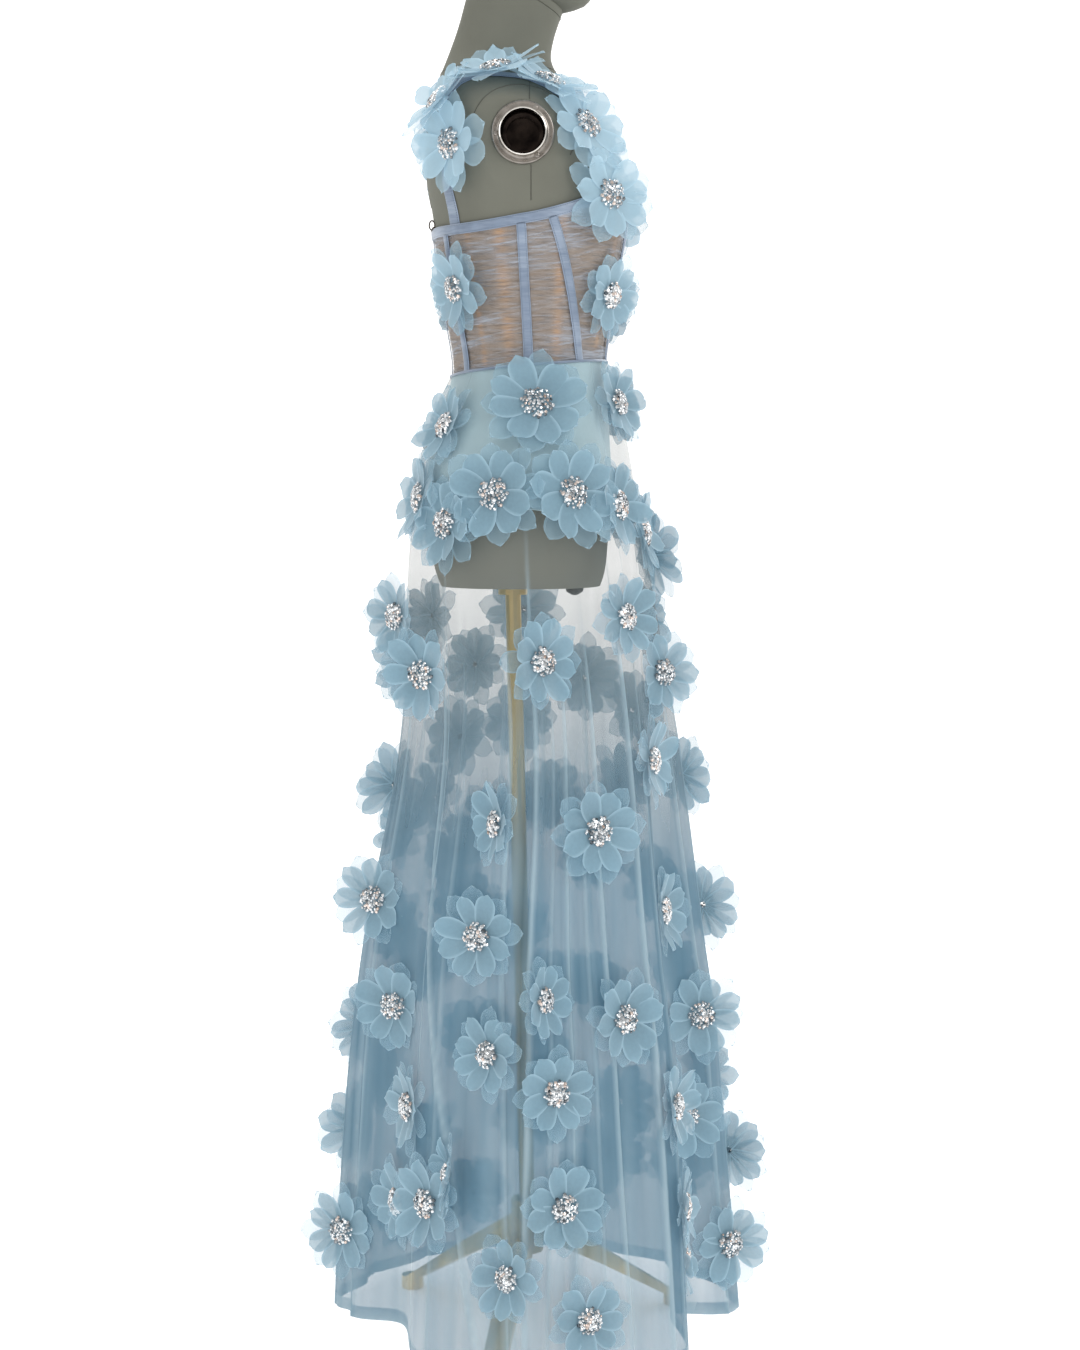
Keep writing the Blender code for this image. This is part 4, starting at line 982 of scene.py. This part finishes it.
def build_skirt(sizes, colours):
    """Four single layers of tulle with creases, and the turned hem of each."""
    net = net_finish(colours, sizes.net_density)
    for name, start in zip(GORE_NAMES, GORE_SEAMS):
        azimuths = np.linspace(start, start + 90.0, GORE_COLUMNS)
        to_seam = np.minimum(azimuths - start, start + 90.0 - azimuths)
        at_seams = np.minimum(1.0, to_seam)
        low = hem_line(azimuths)
        high = waist_line(azimuths) - 0.0002
        heights = high + (low - high) * np.linspace(1, 0, GORE_ROWS)[:, None] ** 1.25
        drop = high - heights
        puckers = 0.0006 * np.sin(np.radians(azimuths * 41)) * np.clip(1 - drop / 0.05, 0, 1)
        wander = 0.0012 * np.sin(np.radians(azimuths * 7.3) + 9 * heights) * np.clip(drop / 0.3, 0, 1)
        grid, crease = tulle_grid(azimuths, heights, at_seams, puckers + wander)
        bend = np.abs(np.gradient(np.gradient(fold_depth(azimuths, heights), axis=1), axis=1))
        fold = np.clip(bend / (bend.max() + 1e-9) * 1.6, 0, 1)
        seam = 0.8 * np.exp(-(to_seam / 0.35) ** 2)
        near_hem = np.clip((low + HEM_DEEP - heights) / 0.002, 0.0, 1.0)
        piece = make_cloth("tulle_" + name, grid, net, "skirt_tulle", "hung",
                           ["brief_front_cloth", "brief_back_cloth"], "skirt_" + name,
                           marks=np.stack([np.maximum(crease, seam), near_hem, fold], axis=-1))
        heights = low + HEM_DEEP * np.linspace(0, 1, HEM_ROWS)[:, None]
        grid, crease = tulle_grid(azimuths, heights, at_seams, out=-0.0009)
        marks = np.stack([crease, np.ones_like(crease), np.zeros_like(crease)], axis=-1)
        hem = make_cloth("hem_" + name, grid, net, "skirt_tulle", "folded", [piece.name], marks=marks)
        for sheer in (piece, hem):
            sheer.visible_shadow = False
            sheer.visible_diffuse = False


def panel_place(panel, u, v):
    """Azimuth and height of a place on a bodice panel."""
    _, start, end, _ = panel
    azimuth = (start[0] + (start[1] - start[0]) * v) * (1 - u) + (end[0] + (end[1] - end[0]) * v) * u
    low = waist_line(azimuth)
    high = bust_line(azimuth) - RIBBON_WIDE * 0.6
    return azimuth, low + (high - low) * v


def gathers(azimuth, v):
    """How strong the wandering gathers of the veil are at each place of a panel."""
    ridge = np.zeros_like(v)
    for k in range(GATHER_LINES):
        path = ((k + 0.5) / GATHER_LINES + 0.018 * np.sin(np.radians(2.9 * azimuth + 61 * k))
                + 0.010 * np.sin(np.radians(6.7 * azimuth + 113 * k)))
        wide = 0.0075 + 0.0025 * np.sin(np.radians(3.7 * azimuth + 29 * k))
        strong = 0.45 + 0.55 * np.sin(np.radians(4.3 * azimuth + 83 * k)) ** 2
        ridge = np.maximum(ridge, strong * np.exp(-((v - path) / wide) ** 2))
    return ridge


def streaks(azimuth, v):
    """How strong the boning's streaks are at each place of a panel's lining."""
    streak = np.zeros_like(v)
    for middle, wide in BONING_STREAKS:
        lean = (middle - BONING_STREAKS[0][0]) * 0.10 * (v - 0.5)
        for turn in (middle + lean, 360 - middle - lean):
            away = turn_between(azimuth, turn) / wide
            strong = 0.35 + 0.65 * np.sin(v * 9 + middle) ** 2
            streak = np.maximum(streak, np.exp(-away * away) * strong)
    return streak


def build_bodice(sizes):
    """Ruched veil over a nude lining, panel by panel."""
    veil = ruched_finish()
    lining = lining_finish()
    for panel in PANELS:
        name, _, _, columns = panel
        u, v = np.meshgrid(np.linspace(0, 1, columns), np.linspace(0, 1, VEIL_ROWS))
        azimuth, height = panel_place(panel, u, v)
        ridge = gathers(azimuth, v)
        at_seam = np.clip(np.minimum(u, 1 - u) * columns / 5.0, 0.0, 1.0)
        grid = off_surface(form_points, azimuth, height, BRIEF_OUT + ridge * sizes.gather_high * at_seam)
        edge = np.clip(1 - np.minimum(v, 1 - v) / 0.05, 0, 1)
        make_cloth(name + "_veil", grid, veil, "ruched_tulle", "gathered", [name + "_lining"], name,
                   fullness=GATHER_FULLNESS, marks=np.stack([ridge, edge, 0 * edge], axis=-1))
        u, v = np.meshgrid(np.linspace(0, 1, columns // 2), np.linspace(0, 1, LINING_ROWS))
        azimuth, height = panel_place(panel, u, v)
        grid = off_surface(form_points, azimuth, height, SKIN * 0.6)
        make_cloth(name + "_lining", grid, lining, "ruched_tulle", "stretched", ["form_torso"],
                   marks=np.stack([streaks(azimuth, v)] * 3, axis=-1))


# Places across a ribbon, from edge to edge
ACROSS = np.linspace(-1, 1, 7)


def ribbon_uvs(middle):
    """UV of a ribbon: its share across, and its length along in metres."""
    run = np.concatenate([[0.0], np.cumsum(np.linalg.norm(np.diff(middle, axis=0), axis=1))])
    return np.stack(np.broadcast_arrays(ACROSS / 2 + 0.5, run[:, None]), axis=-1)


def ribbon_strip(azimuths, heights, half, gap, high):
    """Arched ribbon over a line on the form, and its UV."""
    middle = off_surface(form_points, azimuths, heights, gap)
    normal = normals_of(form_points, azimuths, heights)
    side = np.cross(normal, unit(np.gradient(middle, axis=0)))
    arch = high * np.sqrt(np.clip(1 - ACROSS**2, 0, 1)) ** 0.6
    grid = (middle[:, None, :] + side[:, None, :] * (ACROSS * half)[:, None]
            + normal[:, None, :] * arch[:, None])
    return grid, ribbon_uvs(middle)


def lay_ribbon(name, node, satin, *strip):
    """One satin ribbon sewn over the bodice."""
    grid, uvs = ribbon_strip(*strip)
    make_cloth(name, grid, satin, "satin_ribbon", "stretched", ["bodice_front_veil"], node,
               flip=True, uvs=uvs)


def build_ribbons(colours):
    """Top binding, boning channels, waist roll and the centre-back zip."""
    satin = satin_finish(colours)
    azimuths = np.linspace(-178.0, 178.0, 240)
    lay_ribbon("binding_satin", "binding_top", satin, azimuths, bust_line(azimuths) - RIBBON_WIDE / 2,
               RIBBON_WIDE / 2 + 0.0004, BRIEF_OUT + 0.0006, 0.0017)
    part = np.linspace(0, 1, 70)
    for side, _ in SIDES:
        for name, at_waist, at_top in BODICE_SEAMS:
            azimuth = at_waist + (at_top - at_waist) * part
            if side == "left":
                azimuth = 360 - azimuth
            low = waist_line(azimuth) + 0.0005
            high = bust_line(azimuth) - RIBBON_WIDE - 0.0002
            node = "channel_%s_%s" % (name, side)
            lay_ribbon(node + "_satin", node, satin, azimuth, low + (high - low) * part,
                       RIBBON_WIDE / 2, BRIEF_OUT + 0.0012, 0.0018)
    heights = np.linspace(waist_line(180) + 0.0005, bust_line(180), 60)
    grid, uvs = ribbon_strip(np.full(60, 180.0), heights, 0.006, BRIEF_OUT, 0.0010)
    make_piece("zip_tape", grid, grid_faces(*grid.shape[:2])[:, ::-1], satin, "satin_ribbon", "zip_back",
               uvs=uvs)
    azimuths = np.linspace(0, 360, 241)
    line = off_surface(form_points, azimuths, waist_line(azimuths), BRIEF_OUT + SKIRT_GAP + 0.001)
    verts, faces = tube_along(line, 0.0017, 8)
    make_piece("waist_roll", verts, faces, satin, "satin_ribbon", uvs=np.full((len(verts), 2), 0.5))


def node_tree(names):
    """Search tree over CAD nodes."""
    verts, faces = [], []
    for name in names:
        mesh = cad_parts[name].data
        first = len(verts)
        verts.extend(vertex.co.copy() for vertex in mesh.vertices)
        faces.extend(tuple(first + i for i in face.vertices) for face in mesh.polygons)
    return BVHTree.FromPolygons(verts, faces)


def strap_run(tree, x):
    """Points up the back, over the shoulder and down to the front edge, and their outward way."""
    rays = []
    for part in np.linspace(0, 1, 12, endpoint=False):
        rays.append((Vector((0, 1, 0)), 0.0, STRAP_BACK + (STRAP_TURN - STRAP_BACK) * part))
    for angle in np.radians(np.linspace(0, 180, 73)):
        rays.append((Vector((0, cos(angle), sin(angle))), STRAP_AXIS_Y, STRAP_TURN))
    for part in np.linspace(1, 0, 13)[1:]:
        rays.append((Vector((0, -1, 0)), 0.0, STRAP_FRONT + (STRAP_TURN - STRAP_FRONT) * part))
    points = [tree.ray_cast(Vector((x, y, height)) + out * RAY_REACH + PLACE, -out)[0] - PLACE
              for out, y, height in rays]
    return np.array(points), np.array([out for out, _, _ in rays])


def build_straps(colours):
    """Satin ribbon straps, and a small loop at the back edge."""
    satin = satin_finish(colours)
    tree = node_tree(["form_torso"])
    arch = 0.0010 * np.sqrt(np.clip(1 - ACROSS**2, 0, 1))
    turns = np.linspace(0, 2 * pi, 25)
    ring = np.stack([0 * turns, 0.0035 * np.cos(turns), 0.006 * np.sin(turns)], axis=-1)
    loops = []
    for side, sign in SIDES:
        near, ways = strap_run(tree, sign * STRAP_OUT - STRAP_HALF)
        far, _ = strap_run(tree, sign * STRAP_OUT + STRAP_HALF)
        middle = (near + far) / 2
        smooth = middle.copy()
        for _ in range(3):
            smooth[1:-1] = (smooth[:-2] + 2 * smooth[1:-1] + smooth[2:]) / 4
        lift = np.maximum(((middle - smooth) * ways).sum(axis=1), 0.0) + 0.0016
        across = ACROSS[:, None]
        grid = ((near[:, None, :] * (1 - across) + far[:, None, :] * (1 + across)) / 2
                + ways[:, None, :] * (lift[:, None] + arch)[..., None])
        make_cloth("strap_satin_" + side, grid, satin, "satin_ribbon", "stretched", ["torso_linen"],
                   "strap_" + side, uvs=ribbon_uvs(middle))
        centre = off_surface(form_points, 180.0 - sign * 12.0, 1.434, 0.004)
        loops.append(tube_along(centre + ring, 0.0009, 8))
    thread = flecked_finish("brown_loop", 300.0, (0.035, 0.022, 0.014), (0.09, 0.055, 0.035), roughness=0.6)
    make_piece("strap_loops", *joined(loops), thread, "satin_ribbon")


# Flowers

PETAL_ROWS = 10
PETAL_COLUMNS = 8
PETAL_FACES = grid_faces(PETAL_ROWS, PETAL_COLUMNS).tolist()
STONES = 64
STONE_LIFT = 0.0062
GOLDEN_TURN = 2.39996
# Radius of the flower whose cluster has the full dome radius
DOME_FLOWER = 0.054
FLOWER_GAP = 0.0008
PETAL_GAP = 0.0014
STRAP_FLOWER_LEAN = 0.35
# Places round a flower's middle, at which the cloth's way and height are read
SEAT_TURNS = (-9.0, 0.0, 9.0)
SEAT_LIFTS = (-0.03, 0.0, 0.03)
SEAT_RINGS = (0.0, 0.18, 0.36)

# Layers of petals: petals, reach, half width, rise, height of the base, cover, tone, offset
PETAL_LAYERS = (
    (8, 1.20, 0.285, 0.45, 0.0006, 0.46, 0.62, 0.5),
    (8, 1.03, 0.275, 1.00, 0.0026, 0.76, 0.50, 0.0),
)


def petal_grid(inner, length, width, rise, rng):
    """Points of one rounded petal that points along +X, and how near each is to its rim."""
    v = np.sin(np.linspace(0.0, pi / 2, PETAL_ROWS))[:, None]
    u = np.linspace(-1, 1, PETAL_COLUMNS)[None, :]
    belly = 0.64 + 0.08 * rng.random()
    grow = 0.32 + 0.68 * np.sin(np.clip(v / belly, 0, 1) * pi / 2)
    tip = np.clip(1 - (np.clip(v - belly, 0, None) / (1 - belly)) ** 2.3, 0, 1) ** 0.48
    outline = np.maximum(np.where(v < belly, grow, tip), 0.10)
    x = inner + length * v * (1 - 0.05 * u**2 * v)
    y = u * width * outline
    crease = 0.0035 * (rng.random() - 0.3) * np.abs(u) ** 1.5 * outline * v
    ruffle = 0.0013 * np.sin(u * (2.0 + 1.5 * rng.random()) + 6.3 * rng.random()) * v**2
    curl = rise * (0.2 * v + 0.8 * v**2) - 0.005 * rng.random() * v**7
    z = curl + crease + ruffle
    edge = np.maximum(np.abs(u) ** 9, np.clip((v - 0.90) / 0.10, 0, 1) ** 2 + 0 * u)
    return np.stack([x + 0 * u, y, z], axis=-1), np.clip(edge, 0, 1)


def flower_petals(radius, rise, rng):
    """Points, faces, marks and gaps of the layers of petals, face up, back at the origin."""
    parts, gaps = [], []
    inner = 0.08 * radius
    for petals, reach, width, lift, base, cover, tone, offset in PETAL_LAYERS:
        for k in range(petals):
            length = radius * reach * (0.92 + 0.14 * rng.random()) - inner
            points, edge = petal_grid(inner, length, radius * width * (0.9 + 0.22 * rng.random()),
                                      rise * lift * (0.3 + 1.3 * rng.random()), rng)
            x, y, z = np.moveaxis(points, -1, 0)
            roll = radians(26 * (rng.random() - 0.5)) * (x - inner) / length
            z = y * np.sin(roll) + z + base + 0.0007 * (k % 2)
            y = y * np.cos(roll)
            angle = 2 * pi * (k + offset + 0.30 * (rng.random() - 0.5)) / petals
            laid = np.stack([x * cos(angle) - y * sin(angle), x * sin(angle) + y * cos(angle), z], axis=-1)
            inside = 1 - np.clip(np.hypot(x, y) / radius, 0, 1)
            # Painted shade: petals are darker near the flower's middle, the shadow round the crystal dome;
            # each petal's random tone is its own
            tones = np.clip(tone + 0.16 * (rng.random() - 0.5) - 0.50 * inside, 0, 1)
            covers = np.clip(cover + 0.08 * edge + 0.12 * inside, 0, 0.96)
            marks = np.stack([edge * 0.36, covers, tones], axis=-1)
            parts.append((laid.reshape(-1, 3), PETAL_FACES, marks.reshape(-1, 3)))
            gaps.extend([PETAL_GAP + base + 0.0003 * ((3 * k) % petals)] * (PETAL_ROWS * PETAL_COLUMNS))
    return *joined(parts), gaps


def stone_shape():
    """One cut stone: a flat table, a crown of facets and a girdle, of radius 1."""
    sides = 6
    rings = ((0.50, 0.62, 0.0), (0.98, 0.22, 0.5), (0.92, -0.10, 0.5))
    verts = []
    for radius, height, turn in rings:
        for k in range(sides):
            angle = 2 * pi * (k + turn) / sides
            verts.append((radius * cos(angle), radius * sin(angle), height))
    faces = [tuple(range(sides))]
    for k in range(sides):
        after = (k + 1) % sides
        faces.append((k, sides + k, after))
        faces.append((after, sides + k, sides + after))
        faces.append((sides + k, 2 * sides + k, 2 * sides + after, sides + after))
    return np.array(verts), faces


STONE_VERTS, STONE_FACES = stone_shape()


def flower_stones(dome, stone, rng):
    """Cluster of cut stones over a low dome."""
    parts = []
    for k in range(STONES):
        share = sqrt((k + 0.4) / STONES)
        angle = k * GOLDEN_TURN + 0.3 * rng.random()
        size = stone * (0.72 + 0.62 * rng.random())
        tilt = unit(np.array((0.75 * share * cos(angle) + 0.5 * (rng.random() - 0.5),
                              0.75 * share * sin(angle) + 0.5 * (rng.random() - 0.5), 1.0)))
        side = unit(np.cross((0.3, 0.9, 0.1), tilt))
        up = np.cross(tilt, side)
        spin = rng.random() * pi
        axes = np.array((side * cos(spin) + up * sin(spin), up * cos(spin) - side * sin(spin), tilt))
        height = STONE_LIFT + 0.0048 * (1 - share**2) + 0.0008 * rng.random()
        centre = np.array((dome * share * cos(angle), dome * share * sin(angle), height))
        # Tone: partly the stone's own grey, partly painted glints and dark reflections
        tone = rng.random() ** 0.55
        warm = float(rng.random() < 0.12)
        marks = np.tile((tone, warm, 0.0), (len(STONE_VERTS), 1))
        parts.append((centre + STONE_VERTS * size @ axes, STONE_FACES, marks))
    return joined(parts)


class FlowerBed:
    """Seats flowers on the cloth and gathers them into pieces by node."""

    def __init__(self, sizes):
        self.sizes = sizes
        self.cloth = node_tree([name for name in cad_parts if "flower" not in name])
        self.torso = node_tree(["form_torso"])
        self.groups = {}

    def frame_of(self, surface, first, second, turn):
        """Spot on the cloth, the cloth's outward way and the way that the flower faces."""
        if surface == "strap":
            out = Vector((0, cos(radians(first)), sin(radians(first))))
            start = Vector((second, STRAP_AXIS_Y, STRAP_TURN)) + out * RAY_REACH
            spot = self.torso.ray_cast(start + PLACE, -out)[0] - PLACE
            out = (out + Vector((copysign(STRAP_FLOWER_LEAN, second), 0, 0))).normalized()
            return spot, out, out
        wall = skirt_points if surface == "skirt" else form_points
        turns, lifts = np.meshgrid(SEAT_TURNS, SEAT_LIFTS)
        out = unit(normals_of(wall, first + turns, second + lifts).reshape(-1, 3).sum(axis=0))
        angle = radians(-turn)
        facing = Vector((out[0] * cos(angle) - out[1] * sin(angle),
                         out[0] * sin(angle) + out[1] * cos(angle), out[2]))
        return Vector(wall(first, second)), Vector(out), facing

    def pressed(self, points, way, gaps):
        """Points that lie under the cloth are moved out onto it, each petal at its own gap."""
        for i, (point, gap) in enumerate(zip(points, gaps)):
            spot = Vector(point) + PLACE
            hit = self.cloth.ray_cast(spot + way * 0.08, -way, 0.20)[0]
            depth = (hit - spot).dot(way) + gap if hit else 0.0
            if depth > 0:
                points[i] = point + np.array(way) * depth
        return points

    def add(self, group, surface, first, second, radius, turn, spin, seed):
        """Seat one flower over the highest cloth under its middle."""
        spot, way, out = self.frame_of(surface, first, second, turn)
        side = Vector((1, 0, 0)) if out.z > 0.7 else Vector((0, 0, 1)).cross(out)
        up = out.cross(side).normalized()
        side = up.cross(out)
        lift = 0.0
        for part in SEAT_RINGS:
            for k in range(8):
                angle = 2 * pi * k / 8
                sample = spot + (side * cos(angle) + up * sin(angle)) * radius * part
                hit = self.cloth.ray_cast(sample + PLACE + way * 0.06, -way, 0.12)[0]
                if hit is not None:
                    lift = max(lift, (hit - PLACE - sample).dot(way))
        rng = np.random.default_rng(seed)
        side, up, out = np.array((side, up, out))
        axes = np.array((side * cos(spin) + up * sin(spin), up * cos(spin) - side * sin(spin), out))
        centre = np.array(spot) + np.array(way) * (lift + FLOWER_GAP)
        petals, faces, marks, gaps = flower_petals(radius, self.sizes.petal_rise, rng)
        petals = self.pressed(centre + petals @ axes, way, gaps)
        dome = self.sizes.dome_radius * radius / DOME_FLOWER
        stones, stone_faces, stone_marks = flower_stones(dome, self.sizes.stone_radius, rng)
        bed = self.groups.setdefault(group, {"petals": [], "stones": []})
        bed["petals"].append((petals, faces, marks))
        bed["stones"].append((centre + stones @ axes, stone_faces, stone_marks))

    def build(self, materials):
        """One piece of petals and one of stones for each group."""
        for group, bed in self.groups.items():
            for kind, parts in bed.items():
                verts, faces, marks = joined(parts)
                petals = kind == "petals"
                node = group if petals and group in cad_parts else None
                make_piece("%s_%s" % (group, kind), verts, faces, materials[kind], "petal_organza", node,
                           smooth=petals, marks=marks)


def flower_rows():
    """Every flower: its group, surface, place, radius, turn and spin."""
    for side, sign in SIDES:
        for name, surface, first, second, radius, turn, spin in SIDE_FLOWERS:
            if surface == "strap":
                second = sign * second
            elif side == "left":
                first = 360.0 - first
            yield name + "_" + side, surface, first, second, radius, -sign * turn, -sign * radians(spin)
    for k, (azimuth, height, radius, turn) in enumerate(SKIRT_FLOWERS):
        yield "flower_skirt_%02d" % (k + 1), "skirt", azimuth, height, radius, turn, radians(23.0 * k)
    for k, (azimuth, height, radius, turn) in enumerate(FURTHER_FLOWERS):
        group = "further_right" if azimuth < 180 else "further_left"
        yield group, "skirt", azimuth, height, radius, turn, radians(31.0 * k)


def build_flowers(sizes, colours):
    """Flowers on straps, bodice, hips and skirt, each drawn with its own seed."""
    bed = FlowerBed(sizes)
    for seed, row in enumerate(flower_rows(), start=1):
        bed.add(*row, seed)
    bed.build({"petals": petal_finish(colours), "stones": crystal_finish()})


# Stage

FLOOR_NEAR = -9.0
FLOOR_FAR = 3.0
FLOOR_HALF = 8.0
BACKDROP_BEND = 1.5
BACKDROP_TOP = 7.0
CAMERA_AWAY = 3.2
CAMERA_HEIGHT = 1.0817
CAMERA_DOWN = 4.0
LENS = 65.65

# Soft lights: name, place, aim, size, power
LIGHTS = (
    ("key", (-2.6, -2.2, 3.0), (0.0, 0.0, 1.0), 1.8, 38.0),
    ("fill", (-2.6, 2.6, 2.2), (0.0, 0.0, 0.9), 2.2, 19.0),
    ("top", (0.4, 0.2, 3.6), (0.0, 0.0, 1.0), 2.0, 26.0),
    ("back", (2.4, -1.6, 2.4), (0.0, 0.0, 0.9), 2.0, 24.0),
)


def build_stage():
    """Pale floor that runs up into a backdrop, soft lights and the camera."""
    scene = bpy.context.scene
    finish = Finish("pale_floor", roughness=0.9, base_color=(0.90, 0.90, 0.90, 1),
                    emission_color=(1, 1, 1, 1), emission_strength=0.45)
    turns = np.radians(np.linspace(0, 90, 24))[1:]
    xs = np.concatenate([[FLOOR_NEAR, FLOOR_FAR], FLOOR_FAR + BACKDROP_BEND * np.sin(turns),
                         [FLOOR_FAR + BACKDROP_BEND]])
    zs = np.concatenate([[0.0, 0.0], BACKDROP_BEND - BACKDROP_BEND * np.cos(turns), [BACKDROP_TOP]])
    ys = np.array((-FLOOR_HALF, FLOOR_HALF))
    grid = np.stack(np.broadcast_arrays(xs[:, None], ys, zs[:, None]), axis=-1)
    mesh = bpy.data.meshes.new("floor")
    mesh.from_pydata(grid.reshape(-1, 3).tolist(), [], grid_faces(len(xs), 2).tolist())
    mesh.shade_smooth()
    mesh.materials.append(finish.material)
    floor = bpy.data.objects.new("floor", mesh)
    scene.collection.objects.link(floor)
    scene.world = bpy.data.worlds.new("studio")
    scene.world.use_nodes = True
    sky = scene.world.node_tree.nodes["Background"]
    sky.inputs["Color"].default_value = (1.0, 0.995, 0.975, 1)
    sky.inputs["Strength"].default_value = 0.68
    for name, place, aim, size, power in LIGHTS:
        data = bpy.data.lights.new(name, "AREA")
        data.shape = "DISK"
        data.size = size
        data.energy = power
        light = bpy.data.objects.new(name, data)
        light.location = place
        light.rotation_euler = (Vector(aim) - Vector(place)).to_track_quat("-Z", "Y").to_euler()
        scene.collection.objects.link(light)
    data = bpy.data.cameras.new("camera")
    data.sensor_width = 36.0
    data.lens = LENS
    camera = bpy.data.objects.new("camera", data)
    camera.location = (AXIS_PLACE[0] - CAMERA_AWAY, AXIS_PLACE[1], CAMERA_HEIGHT)
    down = radians(CAMERA_DOWN)
    camera.rotation_euler = Vector((cos(down), 0.0, -sin(down))).to_track_quat("-Z", "Y").to_euler()
    scene.collection.objects.link(camera)
    scene.camera = camera
    scene.view_settings.view_transform = "Standard"
    scene.cycles.transparent_max_bounces = 28


class GOWN_OT_form(bpy.types.Operator):
    """Linen torso, neck and head with their seams"""
    bl_idname = "gown.form"
    bl_label = "Dress form"

    def execute(self, context):
        build_form(context.scene.gown_colours)
        return {"FINISHED"}


class GOWN_OT_sockets(bpy.types.Operator):
    """Metal arm sockets"""
    bl_idname = "gown.sockets"
    bl_label = "Arm sockets"

    def execute(self, context):
        build_sockets()
        return {"FINISHED"}


class GOWN_OT_stand(bpy.types.Operator):
    """Aged brass on the pole and the tripod"""
    bl_idname = "gown.stand"
    bl_label = "Stand"

    def execute(self, context):
        build_stand(context.scene.gown_colours)
        return {"FINISHED"}


class GOWN_OT_brief(bpy.types.Operator):
    """Opaque brief, front and back"""
    bl_idname = "gown.brief"
    bl_label = "Brief"

    def execute(self, context):
        build_brief(context.scene.gown_colours)
        return {"FINISHED"}


class GOWN_OT_skirt(bpy.types.Operator):
    """Tulle gores with their creases and turned hems"""
    bl_idname = "gown.skirt"
    bl_label = "Tulle skirt"

    def execute(self, context):
        build_skirt(context.scene.gown_sizes, context.scene.gown_colours)
        return {"FINISHED"}


class GOWN_OT_bodice(bpy.types.Operator):
    """Ruched veil and nude lining of each bodice panel"""
    bl_idname = "gown.bodice"
    bl_label = "Ruched bodice"

    def execute(self, context):
        build_bodice(context.scene.gown_sizes)
        return {"FINISHED"}


class GOWN_OT_ribbons(bpy.types.Operator):
    """Binding, boning channels, waist roll and zip tape"""
    bl_idname = "gown.ribbons"
    bl_label = "Satin ribbons"

    def execute(self, context):
        build_ribbons(context.scene.gown_colours)
        return {"FINISHED"}


class GOWN_OT_straps(bpy.types.Operator):
    """Shoulder straps and their loops"""
    bl_idname = "gown.straps"
    bl_label = "Shoulder straps"

    def execute(self, context):
        build_straps(context.scene.gown_colours)
        return {"FINISHED"}


class GOWN_OT_flowers(bpy.types.Operator):
    """Organza flowers with crystal middles"""
    bl_idname = "gown.flowers"
    bl_label = "Flowers"

    def execute(self, context):
        build_flowers(context.scene.gown_sizes, context.scene.gown_colours)
        return {"FINISHED"}


class GOWN_OT_stage(bpy.types.Operator):
    """Pale floor, soft lights and camera"""
    bl_idname = "gown.stage"
    bl_label = "Stage"

    def execute(self, context):
        build_stage()
        return {"FINISHED"}


OPERATORS = (GOWN_OT_stage, GOWN_OT_form, GOWN_OT_sockets, GOWN_OT_stand, GOWN_OT_brief, GOWN_OT_skirt,
             GOWN_OT_bodice, GOWN_OT_ribbons, GOWN_OT_straps, GOWN_OT_flowers)


class GOWN_PT_pieces(bpy.types.Panel):
    bl_label = "Gown"
    bl_idname = "GOWN_PT_pieces"
    bl_space_type = "VIEW_3D"
    bl_region_type = "UI"
    bl_category = "Gown"

    def draw(self, context):
        for group in (context.scene.gown_sizes, context.scene.gown_colours):
            for name in group.bl_rna.properties.keys():
                if name not in ("rna_type", "name"):
                    self.layout.prop(group, name)
        for operator in OPERATORS:
            self.layout.operator(operator.bl_idname)


CLASSES = (GownSizes, GownColours) + OPERATORS + (GOWN_PT_pieces,)


def register():
    for item in CLASSES:
        bpy.utils.register_class(item)
    bpy.types.Scene.gown_sizes = bpy.props.PointerProperty(type=GownSizes)
    bpy.types.Scene.gown_colours = bpy.props.PointerProperty(type=GownColours)


def unregister():
    del bpy.types.Scene.gown_sizes
    del bpy.types.Scene.gown_colours
    for item in reversed(CLASSES):
        bpy.utils.unregister_class(item)


def main():
    """Build every piece through its operator."""
    register()
    for operator in OPERATORS:
        family, name = operator.bl_idname.split(".")
        getattr(getattr(bpy.ops, family), name)()


if __name__ == "__main__":
    main()
